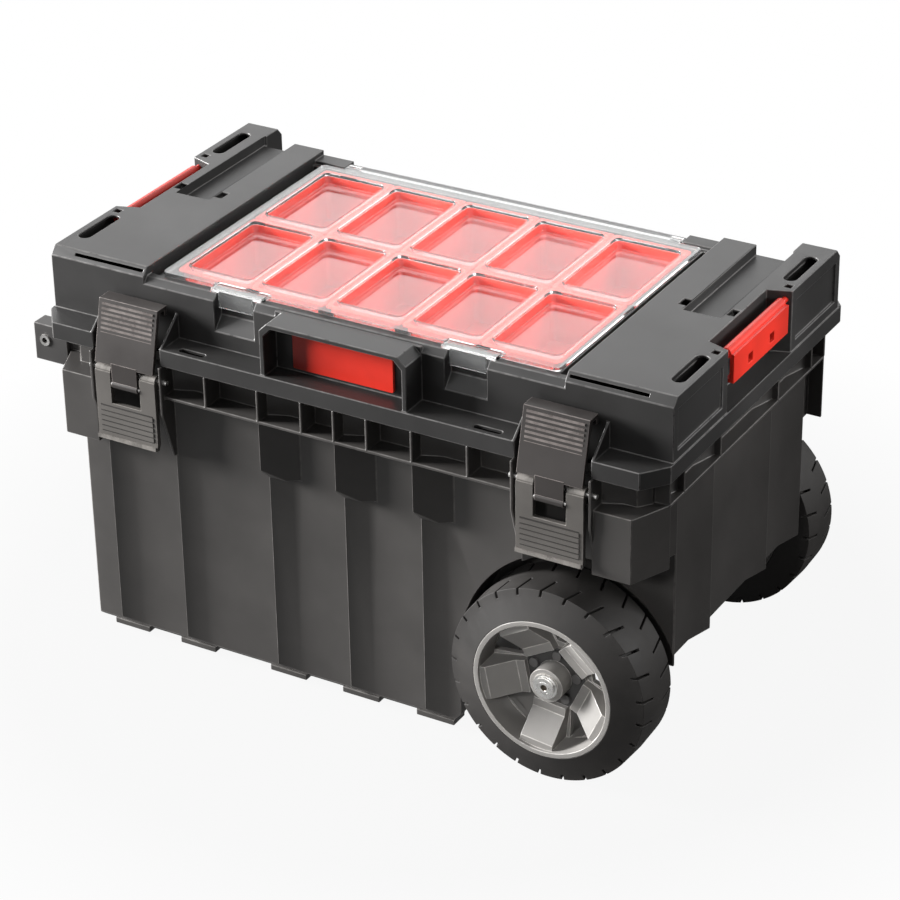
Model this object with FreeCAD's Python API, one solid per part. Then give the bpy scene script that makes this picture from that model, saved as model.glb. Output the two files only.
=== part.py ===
import FreeCAD, Part
import math
import os
from FreeCAD import Vector

# Wheeled jobsite storage chest, in millimetres.
# X runs along the front to the right, Y from the front to the back, Z up from the floor.
# The origin lies on the floor under the middle of the chest.

# General
wall = 3.0                      # moulded wall
rib = 2.6                       # moulded rib
seat_gap = 0.3                  # between flat faces of two pieces at rest
run_fit = 0.05                  # radial clearance of a pin that turns
push_fit = 0.02                 # radial clearance of a pin that is held
swing_gap = 1.0                 # beside a piece that swings between two walls
overrun = 2.0                   # how far a cut runs past the face that it opens

# Tub rim and walls
rim_half_x = 313.0              # rim's lower lip
rim_half_y = 198.5
tub_h = 310.0                   # underside to the top of the rim
rim_corner_x = 17.0
rim_corner_y = 39.0
rim_lip_drop = 30.0             # upper face of the lower lip below the rim's top
rim_lip_t = 3.0
rim_flange_t = 4.0
rim_flange_in = 6.0             # upper flange stands back under the lid's edge
tub_in_x = 14.0                 # flat walls, in from the rim
tub_in_y = 22.0
tub_corner_x = 9.0
tub_corner_y = 12.0
wedge_out = 8.0                 # wedge-shaped ribs that stand out of the walls
wedge_front_l = 20.0            # length of their slope on the front and back
wedge_end_l = 28.0              # and on the end walls
cavity_corner_x = 16.0
cavity_corner_y = 40.0
floor_t = 4.0
bottom_bevel_h = 8.0
bottom_bevel_in = 9.0
toe_before = 14.0               # toes under the wedges, on both sides of the proud edge
toe_after = 26.0
toe_h = 6.0
toe_depth = 20.0
runner_w = 30.0                 # runners that the tub stands on
runner_in = 14.0                # in from the bevel of the underside
panel_pitch = 80.0              # proud edges in the middle of the front
front_rib_inner_share = 0.425   # of the pitch of the panels
front_rib_outer_share = 0.55    # of the way from the last panel to the latch
end_rib_inner_share = 0.337     # of the tub's half width
end_rib_outer_share = 0.745
gusset_drop = 64.0              # lower end below the lip
gusset_rise = 13.5              # slope of its underside
gusset_length = 30.0
corner_block_w = 40.5           # along the end walls
corner_block_drop = 66.0

# Wheels and axle
tyre_r = 97.3
tyre_w = 72.5
tyre_out_y = 11.5               # tyre's face beyond the rim
tyre_bore_share = 0.6886        # of the tyre's radius
tyre_crown = 1.0                # middle of the tread above its edges
tread_w = 53.0
shoulder_h = 8.3                # blocks on the shoulder, from the sidewall to the tread's edge
shoulder_out = 2.2
tread_blocks = 25               # in each of the two rows
tread_rib_w = 16.0              # plain band between the rows
tread_gap_w = 2.2               # between the blocks
tread_gap_depth = 7.0
tread_gap_slant = 15.0          # degrees
tyre_lip_depth = 5.0            # recess in the sidewall for the rim's lip
axle_rise = 91.0                # above the tub's underside
wheel_in_x = 98.0               # axle in from the end of the rim
rim_lip_w = 1.5                 # lip of the wheel's rim over the tyre's bore
rim_fit = 0.1                   # between tyre and rim
rim_barrel_t = 3.0
rim_web_y = 0.0                 # back of the web, outwards from the tyre's middle
rim_web_t = 6.0
spoke_count = 5
spoke_turn_share = 0.092        # first spoke's lean, of the step from spoke to spoke
spoke_root_share = 0.407        # radii, of the inside of the rim's barrel
spoke_foot_share = 0.54
spoke_head_share = 0.89
window_inner_share = 0.56
window_outer_share = 0.97
hub_share = 0.5
spoke_half_w = 16.2
spoke_foot_h = 8.6              # spoke heights above the web
spoke_head_h = 26.7
window_inner_half_w = 4.0
window_outer_half_w = 20.0
hub_h = 3.5                     # hub plate's front above the web
hub_sides = 10
boss_h = 21.0                   # boss around the outer bearing, above the web
boss_t = 4.5
hub_core_t = 8.0                # hub behind the web, around a bearing
hub_gap = 0.5                   # between hub and the wall of the wheel well
axle_r = 6.0
bearing_t = 6.0
bearing_w = 10.0
bearing_proud = 2.0
nut_in = 9.3                    # nuts' circle inside the hub plate's edge
nut_r = 4.6
nut_h = 2.5
axle_hole_r = 3.0
axle_hole_depth = 5.0
retainer_w = 3.5
retainer_t = 2.0
retainer_gap = 0.4

# Wheel wells and raised floor
well_gap = 3.8                  # beside the tyre
arch_gap = 32.7                 # over the tyre
arch_shift_x = 29.0             # arch's middle from the axle
arch_shift_z = -4.8
raised_floor_rise = 10.2        # underside between the wheels, above the axle
panel_corner_bevel = 15.0
hanger_half_w = 18.0
hanger_depth = 20.0
hanger_drop = 16.0              # below the axle's middle

# Latches
latch_in_x = 92.7               # latch middle in from the end of the rim
lever_half = 33.0
lever_side_gap = 3.8            # lever to cheek plate
cheek_front_out = 4.5           # out from the rim
cheek_foot_out = 11.5           # out from the tub's wall
cheek_drop = 67.0               # below the lip
cheek_slope_drop = 18.0
latch_pocket_in = 10.5          # rim is cut back behind a latch
latch_pin_in = 1.2
latch_pin_drop = 16.6
latch_pin_r = 2.5
latch_pin_proud = 3.1           # past the cheeks
lever_front_out = 7.2           # lever's face in front of the pin
lever_t = 5.0
lever_drop = 69.4               # lever's foot below the pin
lever_foot_out = 2.5            # foot turned out as a finger hold
lever_foot_h = 6.0
lever_slot_half = 16.0
lever_window_h = 20.0           # window below the hook pin
knuckle_r = 6.5
knuckle_gap = 1.6               # hook plate above the knuckles
hook_side_in = 1.0              # hook plate narrower than the lever
hook_rise = 33.7                # top above the lid's flange
hook_lean = 14.0                # top of the plate lies this much further back
hook_t = 4.0
hook_front_out = 0.5            # in front of the lever's face
hook_nose_gap = 6.0             # nose to the lid's wall
hook_nose_drop = 9.0
hook_nose_t = 4.0
tongue_gap = 2.0                # tongue in the lever's slot
hook_pin_out = 5.3              # hook pin in front of the latch pin
hook_pin_drop = 11.4
hook_pin_r = 1.8
hook_barrel_t = 2.0
hook_pin_grip = 5.0             # pin's length in each side of the lever

# Lid hinge at the back
hinge_out = 9.2                 # behind the lid's flange
hinge_drop = 10.0               # below the rim's top
hinge_rod_r = 3.0
hinge_knuckle_t = 5.0
hinge_knuckle_w = 16.0
hinge_in_x = 29.0               # outer knuckles in from the end of the rim
hinge_inner_share = 0.387       # place of the inner knuckles
hinge_rod_end = 6.0             # rod past the outermost knuckle

# Lid
lid_over_x = 8.0                # flange beyond the tub's rim
lid_over_y = 0.3
lid_corner_x = 18.0
lid_corner_y = 23.5
flange_h = 17.0
flange_ledge_x = 1.0            # rails in from the flange's edge
flange_ledge_y = 28.8
rail_h = 60.7
rail_w = 103.4
rail_back_in = 30.0             # back of the rails in from the ears
rail_bevel_y = 7.0
rail_bevel_z = 8.0
ear_w = 35.0
deck_drop = 8.8                 # ledge under the clear cover, below the rails
deck_bevel = 6.0
deck_front_w = 17.0
deck_rear_w = 8.0
tray_rear_in = 24.0             # tray's back from the back of the rails
groove_w = 12.0                 # beside the clear cover
groove_depth = 8.0
notch_w = 22.3                  # recess for a stacking clip
notch_half = 58.0
notch_flare = 8.5
ear_slot_in = 13.5
ear_slot_half_w = 6.5
ear_slot_gap = 17.5             # from the recess
ear_slot_end = 30.0             # from the ear's end
ear_hole = 7.0
ear_hole_in = 8.0
ear_hole_gap = 7.5
ear_panel_in = 2.4
ear_panel_margin = 9.0
trough_in = 33.0
trough_w = 37.0
trough_front_y = -13.0
trough_depth = 10.0
keyhole_w = 8.0
keyhole_l = 13.0
keyhole_gap = 0.8               # from the trough
keyhole_y = 2.0
flange_slot_gap = 29.2          # from the latch
flange_slot_in = 8.8
flange_slot_half_l = 14.0
flange_slot_half_w = 3.2
brace_rise = 24.7

# Badge hood
hood_half = 75.5
hood_in = 1.8                   # behind the flange's edge
hood_drop = 0.2                 # below the deck
hood_t = 4.5
hood_corner = 8.0
badge_back = 6.0                # hood's back wall in front of the lid's wall
badge_side_gap = 19.0
badge_lift = 4.2                # above the flange
badge_h = 34.5
badge_t = 3.0
badge_corner_r = 2.0

# Clear cover, its clips and the cups
cover_ledge = 4.6               # cover's lap on the deck at its sides
cover_lap_front = 4.0
cover_lap_rear = 3.4
cover_t = 3.5
cover_corner_r = 5.0
cover_hinge_share = 0.885       # hinge's length, of the cover's
cover_hinge_back = 11.6
cover_barrel_r = 4.5
cover_pin_r = 2.0
cover_pin_l = 26.0
cover_block_gap = 4.1           # cover's back edge to the hinge blocks
cover_block_drop = 5.0
cup_columns = 5
cup_rows = 2
tray_gap = 1.75                 # cups to the tray's sides
tray_front_gap = 10.0
tray_rear_gap = 3.0
window_margin_x = 11.0          # cup's pitch less a dished window
window_margin_y = 17.5
pocket_draft = 2.5              # from a dish's top edge in to its floor
pocket_depth = 8.0
pocket_wall = 1.6
pocket_corner_r = 6.0
cup_gap = 0.8                   # between the rims of two cups
cup_rim_w = 3.8
cup_rim_t = 2.4
cup_wall = 1.8
cup_top_gap = 1.0               # rim below the cover's underside
cup_corner_r = 7.0
cup_rim_corner_r = 3.0
clip_share = 0.585              # place along the cover
clip_half = 27.0
clip_tab_in = 9.0               # tab narrower than the clip
clip_axis_in = 4.0              # axis behind the cover's front edge
clip_axis_drop = 1.8
clip_barrel_r = 1.7
clip_trunnion_r = 1.2
clip_trunnion_l = 2.4
clip_notch_gap = 3.0
clip_front_out = 9.5
clip_t = 2.4
clip_drop = 17.0
clip_recess_half = 21.0
clip_recess_in = 11.5
clip_recess_back_drop = 23.2
clip_recess_front_drop = 38.2

# Stacking clips
stack_rod_in = 7.0
stack_rod_drop = 9.0
stack_rod_r = 5.0
stack_side_gap = 2.0
stack_trunnion_r = 3.0
stack_trunnion_l = 12.0
stack_plate_t = 4.5
stack_plate_h = 28.0
stack_lip_w = 4.0               # lower edge turned in as a hook
stack_lip_t = 4.0
stack_hole_y = 22.0
stack_hole = 9.0
stack_hole_lift = 11.0

# Pull handle at the left end
handle_out = 25.0               # axle beyond the rim
handle_axle_drop = 24.0
handle_axle_r = 5.5
handle_axle_bore_r = 2.8
handle_axle_proud = 1.5
bracket_in_y = 32.5             # lug's outer side in from the rim's side
bracket_w = 18.0
bracket_below = 22.0
bracket_above = 16.0
bracket_out = 12.5              # beyond the axle
handle_arm_share = 0.527        # place of the arms, of the lugs'
handle_arm_w = 14.0
handle_arm_t = 18.0
handle_eye_r = 12.0
handle_drop = 150.0             # axle to grip
handle_core_r = 9.0
handle_grip_r = 15.0
handle_grip_margin = 6.0
handle_collar_t = 3.5

# Places that follow from the sizes above: tub
tub_bottom = tyre_r - axle_rise
rim_top = tub_bottom + tub_h
tub_half_x = rim_half_x - tub_in_x
tub_half_y = rim_half_y - tub_in_y
end_rib_inner_y = end_rib_inner_share * tub_half_y
end_rib_outer_y = end_rib_outer_share * tub_half_y
rim_lip_z = rim_top - rim_lip_drop
gusset_bottom = rim_lip_z - gusset_drop
corner_block_bottom = rim_lip_z - corner_block_drop

# Wheels
axle_z = tyre_r
wheel_x = rim_half_x - wheel_in_x
wheel_y = rim_half_y + tyre_out_y - tyre_w / 2
tyre_bore_r = tyre_bore_share * tyre_r
rim_barrel_r = tyre_bore_r - rim_fit
rim_inner_r = rim_barrel_r - rim_barrel_t
rim_lip_r = tyre_bore_r + rim_lip_w
bearing_r = axle_r + bearing_t
hub_r = hub_share * rim_inner_r
well_inner_y = wheel_y - tyre_w / 2 - well_gap
hub_back = wheel_y - well_inner_y - hub_gap
rim_face = rim_web_y + rim_web_t
hub_front = rim_face + hub_h
boss_front = rim_face + boss_h
axle_half = wheel_y + boss_front + bearing_proud + retainer_gap + retainer_t
arch_r = tyre_r + arch_gap
arch_x = wheel_x + arch_shift_x
arch_z = axle_z + arch_shift_z
well_left = arch_x - arch_r
well_top = arch_z + arch_r
raised_floor_z = axle_z + raised_floor_rise

# Lid
flange_bottom = rim_top + seat_gap
flange_top = flange_bottom + flange_h
lid_half_x = rim_half_x + lid_over_x
lid_half_y = rim_half_y + lid_over_y
rail_top = flange_top + rail_h
rail_half_x = lid_half_x - flange_ledge_x
rail_inner_x = rail_half_x - rail_w
rail_front_y = lid_half_y - flange_ledge_y
rail_rear_y = rail_front_y - rail_back_in
ear_inner_x = rail_half_x - ear_w
notch_x = rail_half_x - notch_w
notch_outer_half = notch_half + notch_flare
trough_x1 = rail_half_x - trough_in
trough_x0 = trough_x1 - trough_w
deck_z = rail_top - deck_drop
hood_front_y = lid_half_y - hood_in
hood_top = deck_z - hood_drop
badge_back_y = rail_front_y + badge_back
hinge_y = lid_half_y + hinge_out
hinge_z = rim_top - hinge_drop
hinge_knuckle_r = hinge_rod_r + hinge_knuckle_t
hinge_outer_x = rim_half_x - hinge_in_x
hinge_xs = (hinge_inner_share * hinge_outer_x, hinge_outer_x)

# Cover and cups
cover_half_x = rail_inner_x - groove_w
tray_half_x = cover_half_x - cover_ledge
tray_front_y = rail_front_y - deck_front_w
tray_rear_y = rail_rear_y - tray_rear_in
cover_front_y = tray_front_y + cover_lap_front
cover_rear_y = tray_rear_y + cover_lap_rear
cover_z0 = deck_z + seat_gap
cover_top = cover_z0 + cover_t
cover_hinge_half = cover_hinge_share * cover_half_x
cover_hinge_y = cover_rear_y + cover_hinge_back
cover_hinge_z = cover_top - cover_barrel_r
cup_pitch_x = 2 * (tray_half_x - tray_gap) / cup_columns
cup_pitch_y = (tray_front_y - tray_front_gap + tray_rear_y - tray_rear_gap) / cup_rows
cup_xs = [(i - (cup_columns - 1) / 2) * cup_pitch_x for i in range(cup_columns)]
cup_row_ys = [tray_front_gap - tray_front_y + (i + 1 / 2) * cup_pitch_y for i in range(cup_rows)]
cup_z0 = flange_top + seat_gap
cup_top = cover_z0 - cup_top_gap
clip_x = clip_share * cover_half_x
clip_axis_y = cover_front_y - clip_axis_in
clip_axis_z = cover_top - clip_axis_drop
clip_front_y = cover_front_y + clip_front_out
stack_rod_x = rail_half_x - stack_rod_in
stack_rod_z = rail_top - stack_rod_drop
stack_half_y = notch_half - stack_side_gap
stack_bottom = stack_rod_z - stack_plate_h

# Latches
latch_x = rim_half_x - latch_in_x
cheek_half = lever_half + lever_side_gap + rib / 2
cheek_near = latch_x - cheek_half
cheek_far = latch_x + cheek_half
cheek_bottom = rim_lip_z - cheek_drop
latch_pin_y = rim_half_y - latch_pin_in
latch_pin_z = rim_top - latch_pin_drop
latch_pin_half = cheek_half + rib / 2 + latch_pin_proud
lever_front_y = latch_pin_y + lever_front_out
hook_front_y = lever_front_y + hook_front_out
hook_pin_y = latch_pin_y + hook_pin_out
hook_pin_z = latch_pin_z - hook_pin_drop
hook_bottom = latch_pin_z + knuckle_r + knuckle_gap
hook_top = flange_top + hook_rise
hook_nose_y = rail_front_y + hook_nose_gap
front_rib_inner_x = front_rib_inner_share * panel_pitch
front_rib_outer_x = panel_pitch + front_rib_outer_share * (cheek_near - panel_pitch)

# Handle
handle_axis_x = -rim_half_x - handle_out
handle_axis_z = rim_top - handle_axle_drop
bracket_y1 = rim_half_y - bracket_in_y
bracket_y0 = bracket_y1 - bracket_w
handle_arm_y = handle_arm_share * bracket_y0
grip_z = handle_axis_z - handle_drop


# Basic shapes

def box(x0, x1, y0, y1, z0, z1):
    """A box between two corners."""
    return Part.makeBox(x1 - x0, y1 - y0, z1 - z0, Vector(x0, y0, z0))


def prism(points, direction):
    """A polygon's face, pushed along a vector."""
    wire = Part.makePolygon(points + points[:1])
    return Part.Face(wire).extrude(direction)


def prism_z(points, z0, z1):
    """Plan outline (x, y) from z0 to z1."""
    return prism([Vector(x, y, z0) for x, y in points], Vector(0, 0, z1 - z0))


def prism_x(points, x0, x1):
    """Side outline (y, z) from x0 to x1."""
    return prism([Vector(x0, y, z) for y, z in points], Vector(x1 - x0, 0, 0))


def prism_y(points, y0, y1):
    """Front outline (x, z) from y0 to y1."""
    return prism([Vector(x, y0, z) for x, z in points], Vector(0, y1 - y0, 0))


def rod_x(y, z, r, x0, x1):
    return Part.makeCylinder(r, x1 - x0, Vector(x0, y, z), Vector(1, 0, 0))


def rod_y(x, z, r, y0, y1):
    return Part.makeCylinder(r, y1 - y0, Vector(x, y0, z), Vector(0, 1, 0))


def rod_z(x, y, r, z0, z1):
    return Part.makeCylinder(r, z1 - z0, Vector(x, y, z0), Vector(0, 0, 1))


def rounded_box(x0, x1, y0, y1, z0, z1, r):
    """A box with its upright edges rounded."""
    body = box(x0, x1, y0, y1, z0, z1)
    upright = [e for e in body.Edges if e.Vertexes[0].Z != e.Vertexes[-1].Z]
    return body.makeFillet(r, upright)


def dish(x, y, half_x, half_y, z0, z1, draft, r):
    """A block about (x, y) that narrows downwards, with its corner edges rounded."""
    outlines = []
    for z, inset in ((z0, draft), (z1, 0)):
        a, b = half_x - inset, half_y - inset
        outlines.append(Part.makePolygon([Vector(x + i * a, y + j * b, z) for i, j in (
            (-1, -1), (1, -1), (1, 1), (-1, 1), (-1, -1))]))
    body = Part.makeLoft(outlines, True, True)
    upright = [e for e in body.Edges if e.Vertexes[0].Z != e.Vertexes[-1].Z]
    return body.makeFillet(r, upright)


def bevelled_outline(half_x, half_y, corner_x, corner_y):
    """Plan outline of a rectangle with its corners cut off."""
    return [(-half_x + corner_x, -half_y), (half_x - corner_x, -half_y),
            (half_x, -half_y + corner_y), (half_x, half_y - corner_y),
            (half_x - corner_x, half_y), (-half_x + corner_x, half_y),
            (-half_x, half_y - corner_y), (-half_x, -half_y + corner_y)]


def slot_y(x, y0, y1, half_w, z0, z1):
    """A slot with round ends, along Y."""
    middle = box(x - half_w, x + half_w, y0 + half_w, y1 - half_w, z0, z1)
    ends = [rod_z(x, y0 + half_w, half_w, z0, z1), rod_z(x, y1 - half_w, half_w, z0, z1)]
    return middle.fuse(ends)


def slot_x(x, y, half_l, half_w, z0, z1):
    """A slot with round ends, along X."""
    reach = half_l - half_w
    middle = box(x - reach, x + reach, y - half_w, y + half_w, z0, z1)
    ends = [rod_z(x - reach, y, half_w, z0, z1), rod_z(x + reach, y, half_w, z0, z1)]
    return middle.fuse(ends)


def flip_x(shape):
    """The same shape on the other end of the chest."""
    return shape.mirror(Vector(0, 0, 0), Vector(1, 0, 0))


def flip_y(shape):
    """The same shape on the other side, front for back."""
    return shape.mirror(Vector(0, 0, 0), Vector(0, 1, 0))


def as_built(shape):
    return shape


def both_ends(shape):
    return [shape, flip_x(shape)]


def four_corners(shape):
    return both_ends(shape) + both_ends(flip_y(shape))


def one_solid(shape):
    """The cleaned solid of a boolean result."""
    return shape.removeSplitter().Solids[0]


# Tub

def front_wedges():
    """Places of the proud edges along the front."""
    left = [-cheek_far, -cheek_near, -panel_pitch]
    return left + [0] + [-x for x in reversed(left)]


def wedge_line(places, slope):
    """Points along a wall with their depth: square out at each place, then a slope back along the wall."""
    points = []
    for x in places:
        points += [(x, 0), (x, wedge_out), (x + slope, 0)]
    return points


def tub_outline():
    """Plan outline of the tub, going round from the left end of the front."""
    x, y = tub_half_x, tub_half_y
    front = [(s, -y - d) for s, d in wedge_line(front_wedges(), wedge_front_l)]
    ends = [-end_rib_outer_y, -end_rib_inner_y, end_rib_inner_y, end_rib_outer_y]
    right = [(x + d, -s) for s, d in reversed(wedge_line(ends, wedge_end_l))]
    back = [(a, -b) for a, b in reversed(front)]
    left = [(-a, b) for a, b in reversed(right)]
    return ([(-x + tub_corner_x, -y)] + front + [(x - tub_corner_x, -y), (x, -y + tub_corner_y)] + right
            + [(x, y - tub_corner_y), (x - tub_corner_x, y)] + back
            + [(-x + tub_corner_x, y), (-x, y - tub_corner_y)] + left + [(-x, -y + tub_corner_y)])


def toes():
    """Short toes under the wedges of the front and back, as far as the wheel wells."""
    pieces = []
    for x in front_wedges():
        if x + toe_after < well_left:
            toe = box(x - toe_before, x + toe_after, -tub_half_y, -tub_half_y + toe_depth,
                      tub_bottom, tub_bottom + toe_h)
            pieces += [toe, flip_y(toe)]
    return pieces


def bottom_bevels():
    """Wedges that bevel the lower edge of the front, back and left walls."""
    reach = wedge_out + overrun
    high = tub_bottom + bottom_bevel_h * (1 + reach / bottom_bevel_in)
    low = tub_bottom - bottom_bevel_h * overrun / bottom_bevel_in
    inner = tub_half_y - bottom_bevel_in - overrun
    front = prism_x([(-tub_half_y - reach, high), (-inner, low), (-tub_half_y - reach, low)],
                    -tub_half_x - reach, tub_half_x + reach)
    inner = tub_half_x - bottom_bevel_in - overrun
    left = prism_y([(-tub_half_x - reach, high), (-inner, low), (-tub_half_x - reach, low)],
                   -tub_half_y - reach, tub_half_y + reach)
    return [front, flip_y(front), left]


def runners():
    """Bars under the flat part of the underside, level with the tyres."""
    x0 = -tub_half_x + bottom_bevel_in + runner_in
    x1 = well_left - panel_corner_bevel - runner_in
    side_y = tub_half_y - bottom_bevel_in - runner_in - runner_w / 2
    return [box(x0, x1, y - runner_w / 2, y + runner_w / 2, 0, tub_bottom + floor_t / 2)
            for y in (-side_y, 0, side_y)]


def wheel_well():
    """Space of the rear wheel: upright, then an arch, then open to the wheel end."""
    y0 = well_inner_y
    end_x = rim_half_x + overrun
    corner = arch_r * math.cos(math.pi / 4)
    arc = Part.Arc(Vector(well_left, y0, arch_z), Vector(arch_x - corner, y0, arch_z + corner),
                   Vector(arch_x, y0, well_top))
    runs = [(Vector(well_left, y0, -overrun), Vector(well_left, y0, arch_z)),
            (Vector(arch_x, y0, well_top), Vector(end_x, y0, well_top)),
            (Vector(end_x, y0, well_top), Vector(end_x, y0, -overrun)),
            (Vector(end_x, y0, -overrun), Vector(well_left, y0, -overrun))]
    edges = [Part.LineSegment(a, b).toShape() for a, b in runs]
    wire = Part.Wire([edges[0], arc.toShape()] + edges[1:])
    return Part.Face(wire).extrude(Vector(0, rim_half_y + overrun - y0, 0))


def tub_cavity():
    """Inside of the tub, over the raised floor and the wheel wells."""
    plan = bevelled_outline(tub_half_x - wall, tub_half_y - wall, cavity_corner_x, cavity_corner_y)
    deep = prism_z(plan, tub_bottom + floor_t, rim_top + overrun)
    step_x = well_left - wall
    raised = box(step_x, rim_half_x, -rim_half_y, rim_half_y, 0, raised_floor_z + floor_t)
    beside = box(step_x, rim_half_x, well_inner_y - wall, rim_half_y, 0, well_top + wall)
    return deep.cut([raised, beside, flip_y(beside)])


def rim():
    """Lower lip, upper flange and the ribs between them, on a plan that the cavity cuts later."""
    lip = prism_z(bevelled_outline(rim_half_x, rim_half_y, rim_corner_x, rim_corner_y),
                  rim_lip_z - rim_lip_t, rim_lip_z)
    flange = prism_z(bevelled_outline(rim_half_x - rim_flange_in, rim_half_y - rim_flange_in,
                                      rim_corner_x, rim_corner_y),
                     rim_top - rim_flange_t, rim_top)
    pieces = [lip, flange]
    front_xs = [0, front_rib_inner_x, panel_pitch, front_rib_outer_x]
    front_xs += [-x for x in front_xs[1:]]
    for x in front_xs:
        front = box(x - rib / 2, x + rib / 2, -rim_half_y, -tub_half_y, rim_lip_z, rim_top)
        pieces += [front, flip_y(front)]
    for y in (end_rib_inner_y, end_rib_outer_y, rim_half_y - rim_corner_y):
        end = box(tub_half_x - wall, rim_half_x, y - rib / 2, y + rib / 2, rim_lip_z, rim_top)
        pieces += four_corners(end)
    return pieces


def gussets():
    """Flared upper ends of the proud edges in the middle of the front and back."""
    top = rim_lip_z - rim_lip_t / 2
    proud_y = tub_half_y + wedge_out
    side = prism_x([(-tub_half_y, gusset_bottom), (-proud_y, gusset_bottom),
                    (-rim_half_y, gusset_bottom + gusset_rise), (-rim_half_y, top), (-tub_half_y, top)],
                   -rim_half_x, rim_half_x)
    pieces = []
    for x in (-panel_pitch, 0, panel_pitch):
        plan = prism_z([(x, -rim_half_y), (x, -tub_half_y), (x + gusset_length, -tub_half_y)],
                       gusset_bottom, top)
        front = plan.common(side)
        pieces += [front, flip_y(front)]
    return pieces


def corner_blocks():
    """Blocks under the rim at the four corners."""
    plan = bevelled_outline(rim_half_x, rim_half_y, rim_corner_x, rim_corner_y)
    ring = prism_z(plan, corner_block_bottom, rim_lip_z - rim_lip_t / 2)
    corner = box(cheek_far, rim_half_x, rim_half_y - corner_block_w, rim_half_y,
                 corner_block_bottom, rim_lip_z)
    return four_corners(ring.common(corner))


def latch_cheeks():
    """Plates beside each latch that carry its pin."""
    front_y = rim_half_y + cheek_front_out
    outline = [(-tub_half_y, rim_top), (-front_y, rim_top), (-front_y, rim_lip_z - cheek_slope_drop),
               (-tub_half_y - cheek_foot_out, cheek_bottom), (-tub_half_y, cheek_bottom)]
    pieces = []
    for x in (cheek_near, cheek_far):
        pieces += both_ends(prism_x(outline, x - rib / 2, x + rib / 2))
    return pieces


def latch_pockets():
    """Room behind each latch, between its cheeks."""
    pocket = box(cheek_near + rib / 2, cheek_far - rib / 2, -rim_half_y - overrun,
                 -rim_half_y + latch_pocket_in, cheek_bottom, rim_top + overrun)
    return both_ends(pocket)


def tub_hinge_spans():
    """Spans in X of the tub's hinge knuckles."""
    return [(x, x + hinge_knuckle_w) for x in hinge_xs]


def lid_hinge_spans():
    """Spans in X of the lid's hinge knuckles, each beside one of the tub's."""
    return [(x - seat_gap - hinge_knuckle_w, x - seat_gap) for x in hinge_xs]


def tub_knuckles():
    """The tub's halves of the lid hinge, on arms from the back wall."""
    pieces = []
    for x0, x1 in tub_hinge_spans():
        arm = box(x0, x1, tub_half_y, hinge_y, hinge_z - hinge_knuckle_r, hinge_z)
        pieces += both_ends(rod_x(hinge_y, hinge_z, hinge_knuckle_r, x0, x1).fuse(arm))
    return pieces


def axle_hangers():
    """Blocks under the raised floor that hold the axle."""
    block = box(wheel_x - hanger_half_w, wheel_x + hanger_half_w, well_inner_y - hanger_depth, well_inner_y,
                axle_z - hanger_drop, raised_floor_z + floor_t / 2)
    return [block, flip_y(block)]


def tub_shell():
    body = prism_z(tub_outline(), tub_bottom, rim_top)
    body = body.fuse(rim() + gussets() + corner_blocks() + latch_cheeks())
    well = wheel_well()
    step = box(well_left, rim_half_x + overrun, -well_inner_y - overrun, well_inner_y + overrun,
               -overrun, raised_floor_z)
    low = tub_bottom - overrun
    high = tub_bottom + panel_corner_bevel
    panel_corner = prism_y([(well_left - panel_corner_bevel, low), (well_left + overrun, low),
                            (well_left + overrun, high), (well_left, high)], -rim_half_y, rim_half_y)
    cuts = bottom_bevels() + latch_pockets() + [well, flip_y(well), step, panel_corner, tub_cavity()]
    body = body.cut(cuts)
    body = body.fuse(tub_knuckles() + axle_hangers() + toes() + runners())
    latch_bore = rod_x(-latch_pin_y, latch_pin_z, latch_pin_r + push_fit,
                       cheek_near - rib, cheek_far + rib)
    bores = both_ends(latch_bore)
    bores.append(rod_x(hinge_y, hinge_z, hinge_rod_r + push_fit, -rim_half_x, rim_half_x))
    bores.append(rod_y(wheel_x, axle_z, axle_r + push_fit, -well_inner_y - overrun, well_inner_y + overrun))
    return one_solid(body.cut(bores))


def hinge_rod():
    end = hinge_outer_x + hinge_knuckle_w + hinge_rod_end
    return rod_x(hinge_y, hinge_z, hinge_rod_r, -end, end)


def axle():
    body = rod_y(wheel_x, axle_z, axle_r, -axle_half, axle_half)
    hole = rod_y(wheel_x, axle_z, axle_hole_r, axle_half - axle_hole_depth, axle_half + overrun)
    return body.cut([hole, flip_y(hole)])


def axle_retainer():
    """Ring pressed on the rear end of the axle."""
    y0 = axle_half - retainer_t
    ring = rod_y(wheel_x, axle_z, axle_r + retainer_w, y0, axle_half)
    return ring.cut(rod_y(wheel_x, axle_z, axle_r + push_fit, y0 - overrun, axle_half + overrun))


# Lid

def rail():
    """One raised side of the lid with its two ears, on the right end."""
    plan = [(rail_inner_x, -rail_front_y), (rail_half_x, -rail_front_y), (rail_half_x, rail_front_y),
            (ear_inner_x, rail_front_y), (ear_inner_x, rail_rear_y), (rail_inner_x, rail_rear_y)]
    body = prism_z(plan, flange_top - wall, rail_top)
    slope = rail_bevel_z * overrun / rail_bevel_y
    bevel = prism_x([(-rail_front_y - overrun, rail_top - rail_bevel_z - slope),
                     (-rail_front_y + rail_bevel_y + overrun, rail_top + slope),
                     (-rail_front_y - overrun, rail_top + slope)],
                    rail_inner_x - overrun, rail_half_x + overrun)
    notch = prism_z([(notch_x, -notch_half), (rail_half_x + overrun, -notch_outer_half),
                     (rail_half_x + overrun, notch_outer_half), (notch_x, notch_half)],
                    flange_top, rail_top + overrun)
    panel = box(rail_half_x - ear_panel_in, rail_half_x + overrun, notch_outer_half + ear_panel_margin,
                rail_front_y - ear_panel_margin, flange_top + ear_panel_margin,
                rail_top - rail_bevel_z - ear_panel_margin / 2)
    return body.cut([bevel, flip_y(bevel), notch, panel, flip_y(panel)])


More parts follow.
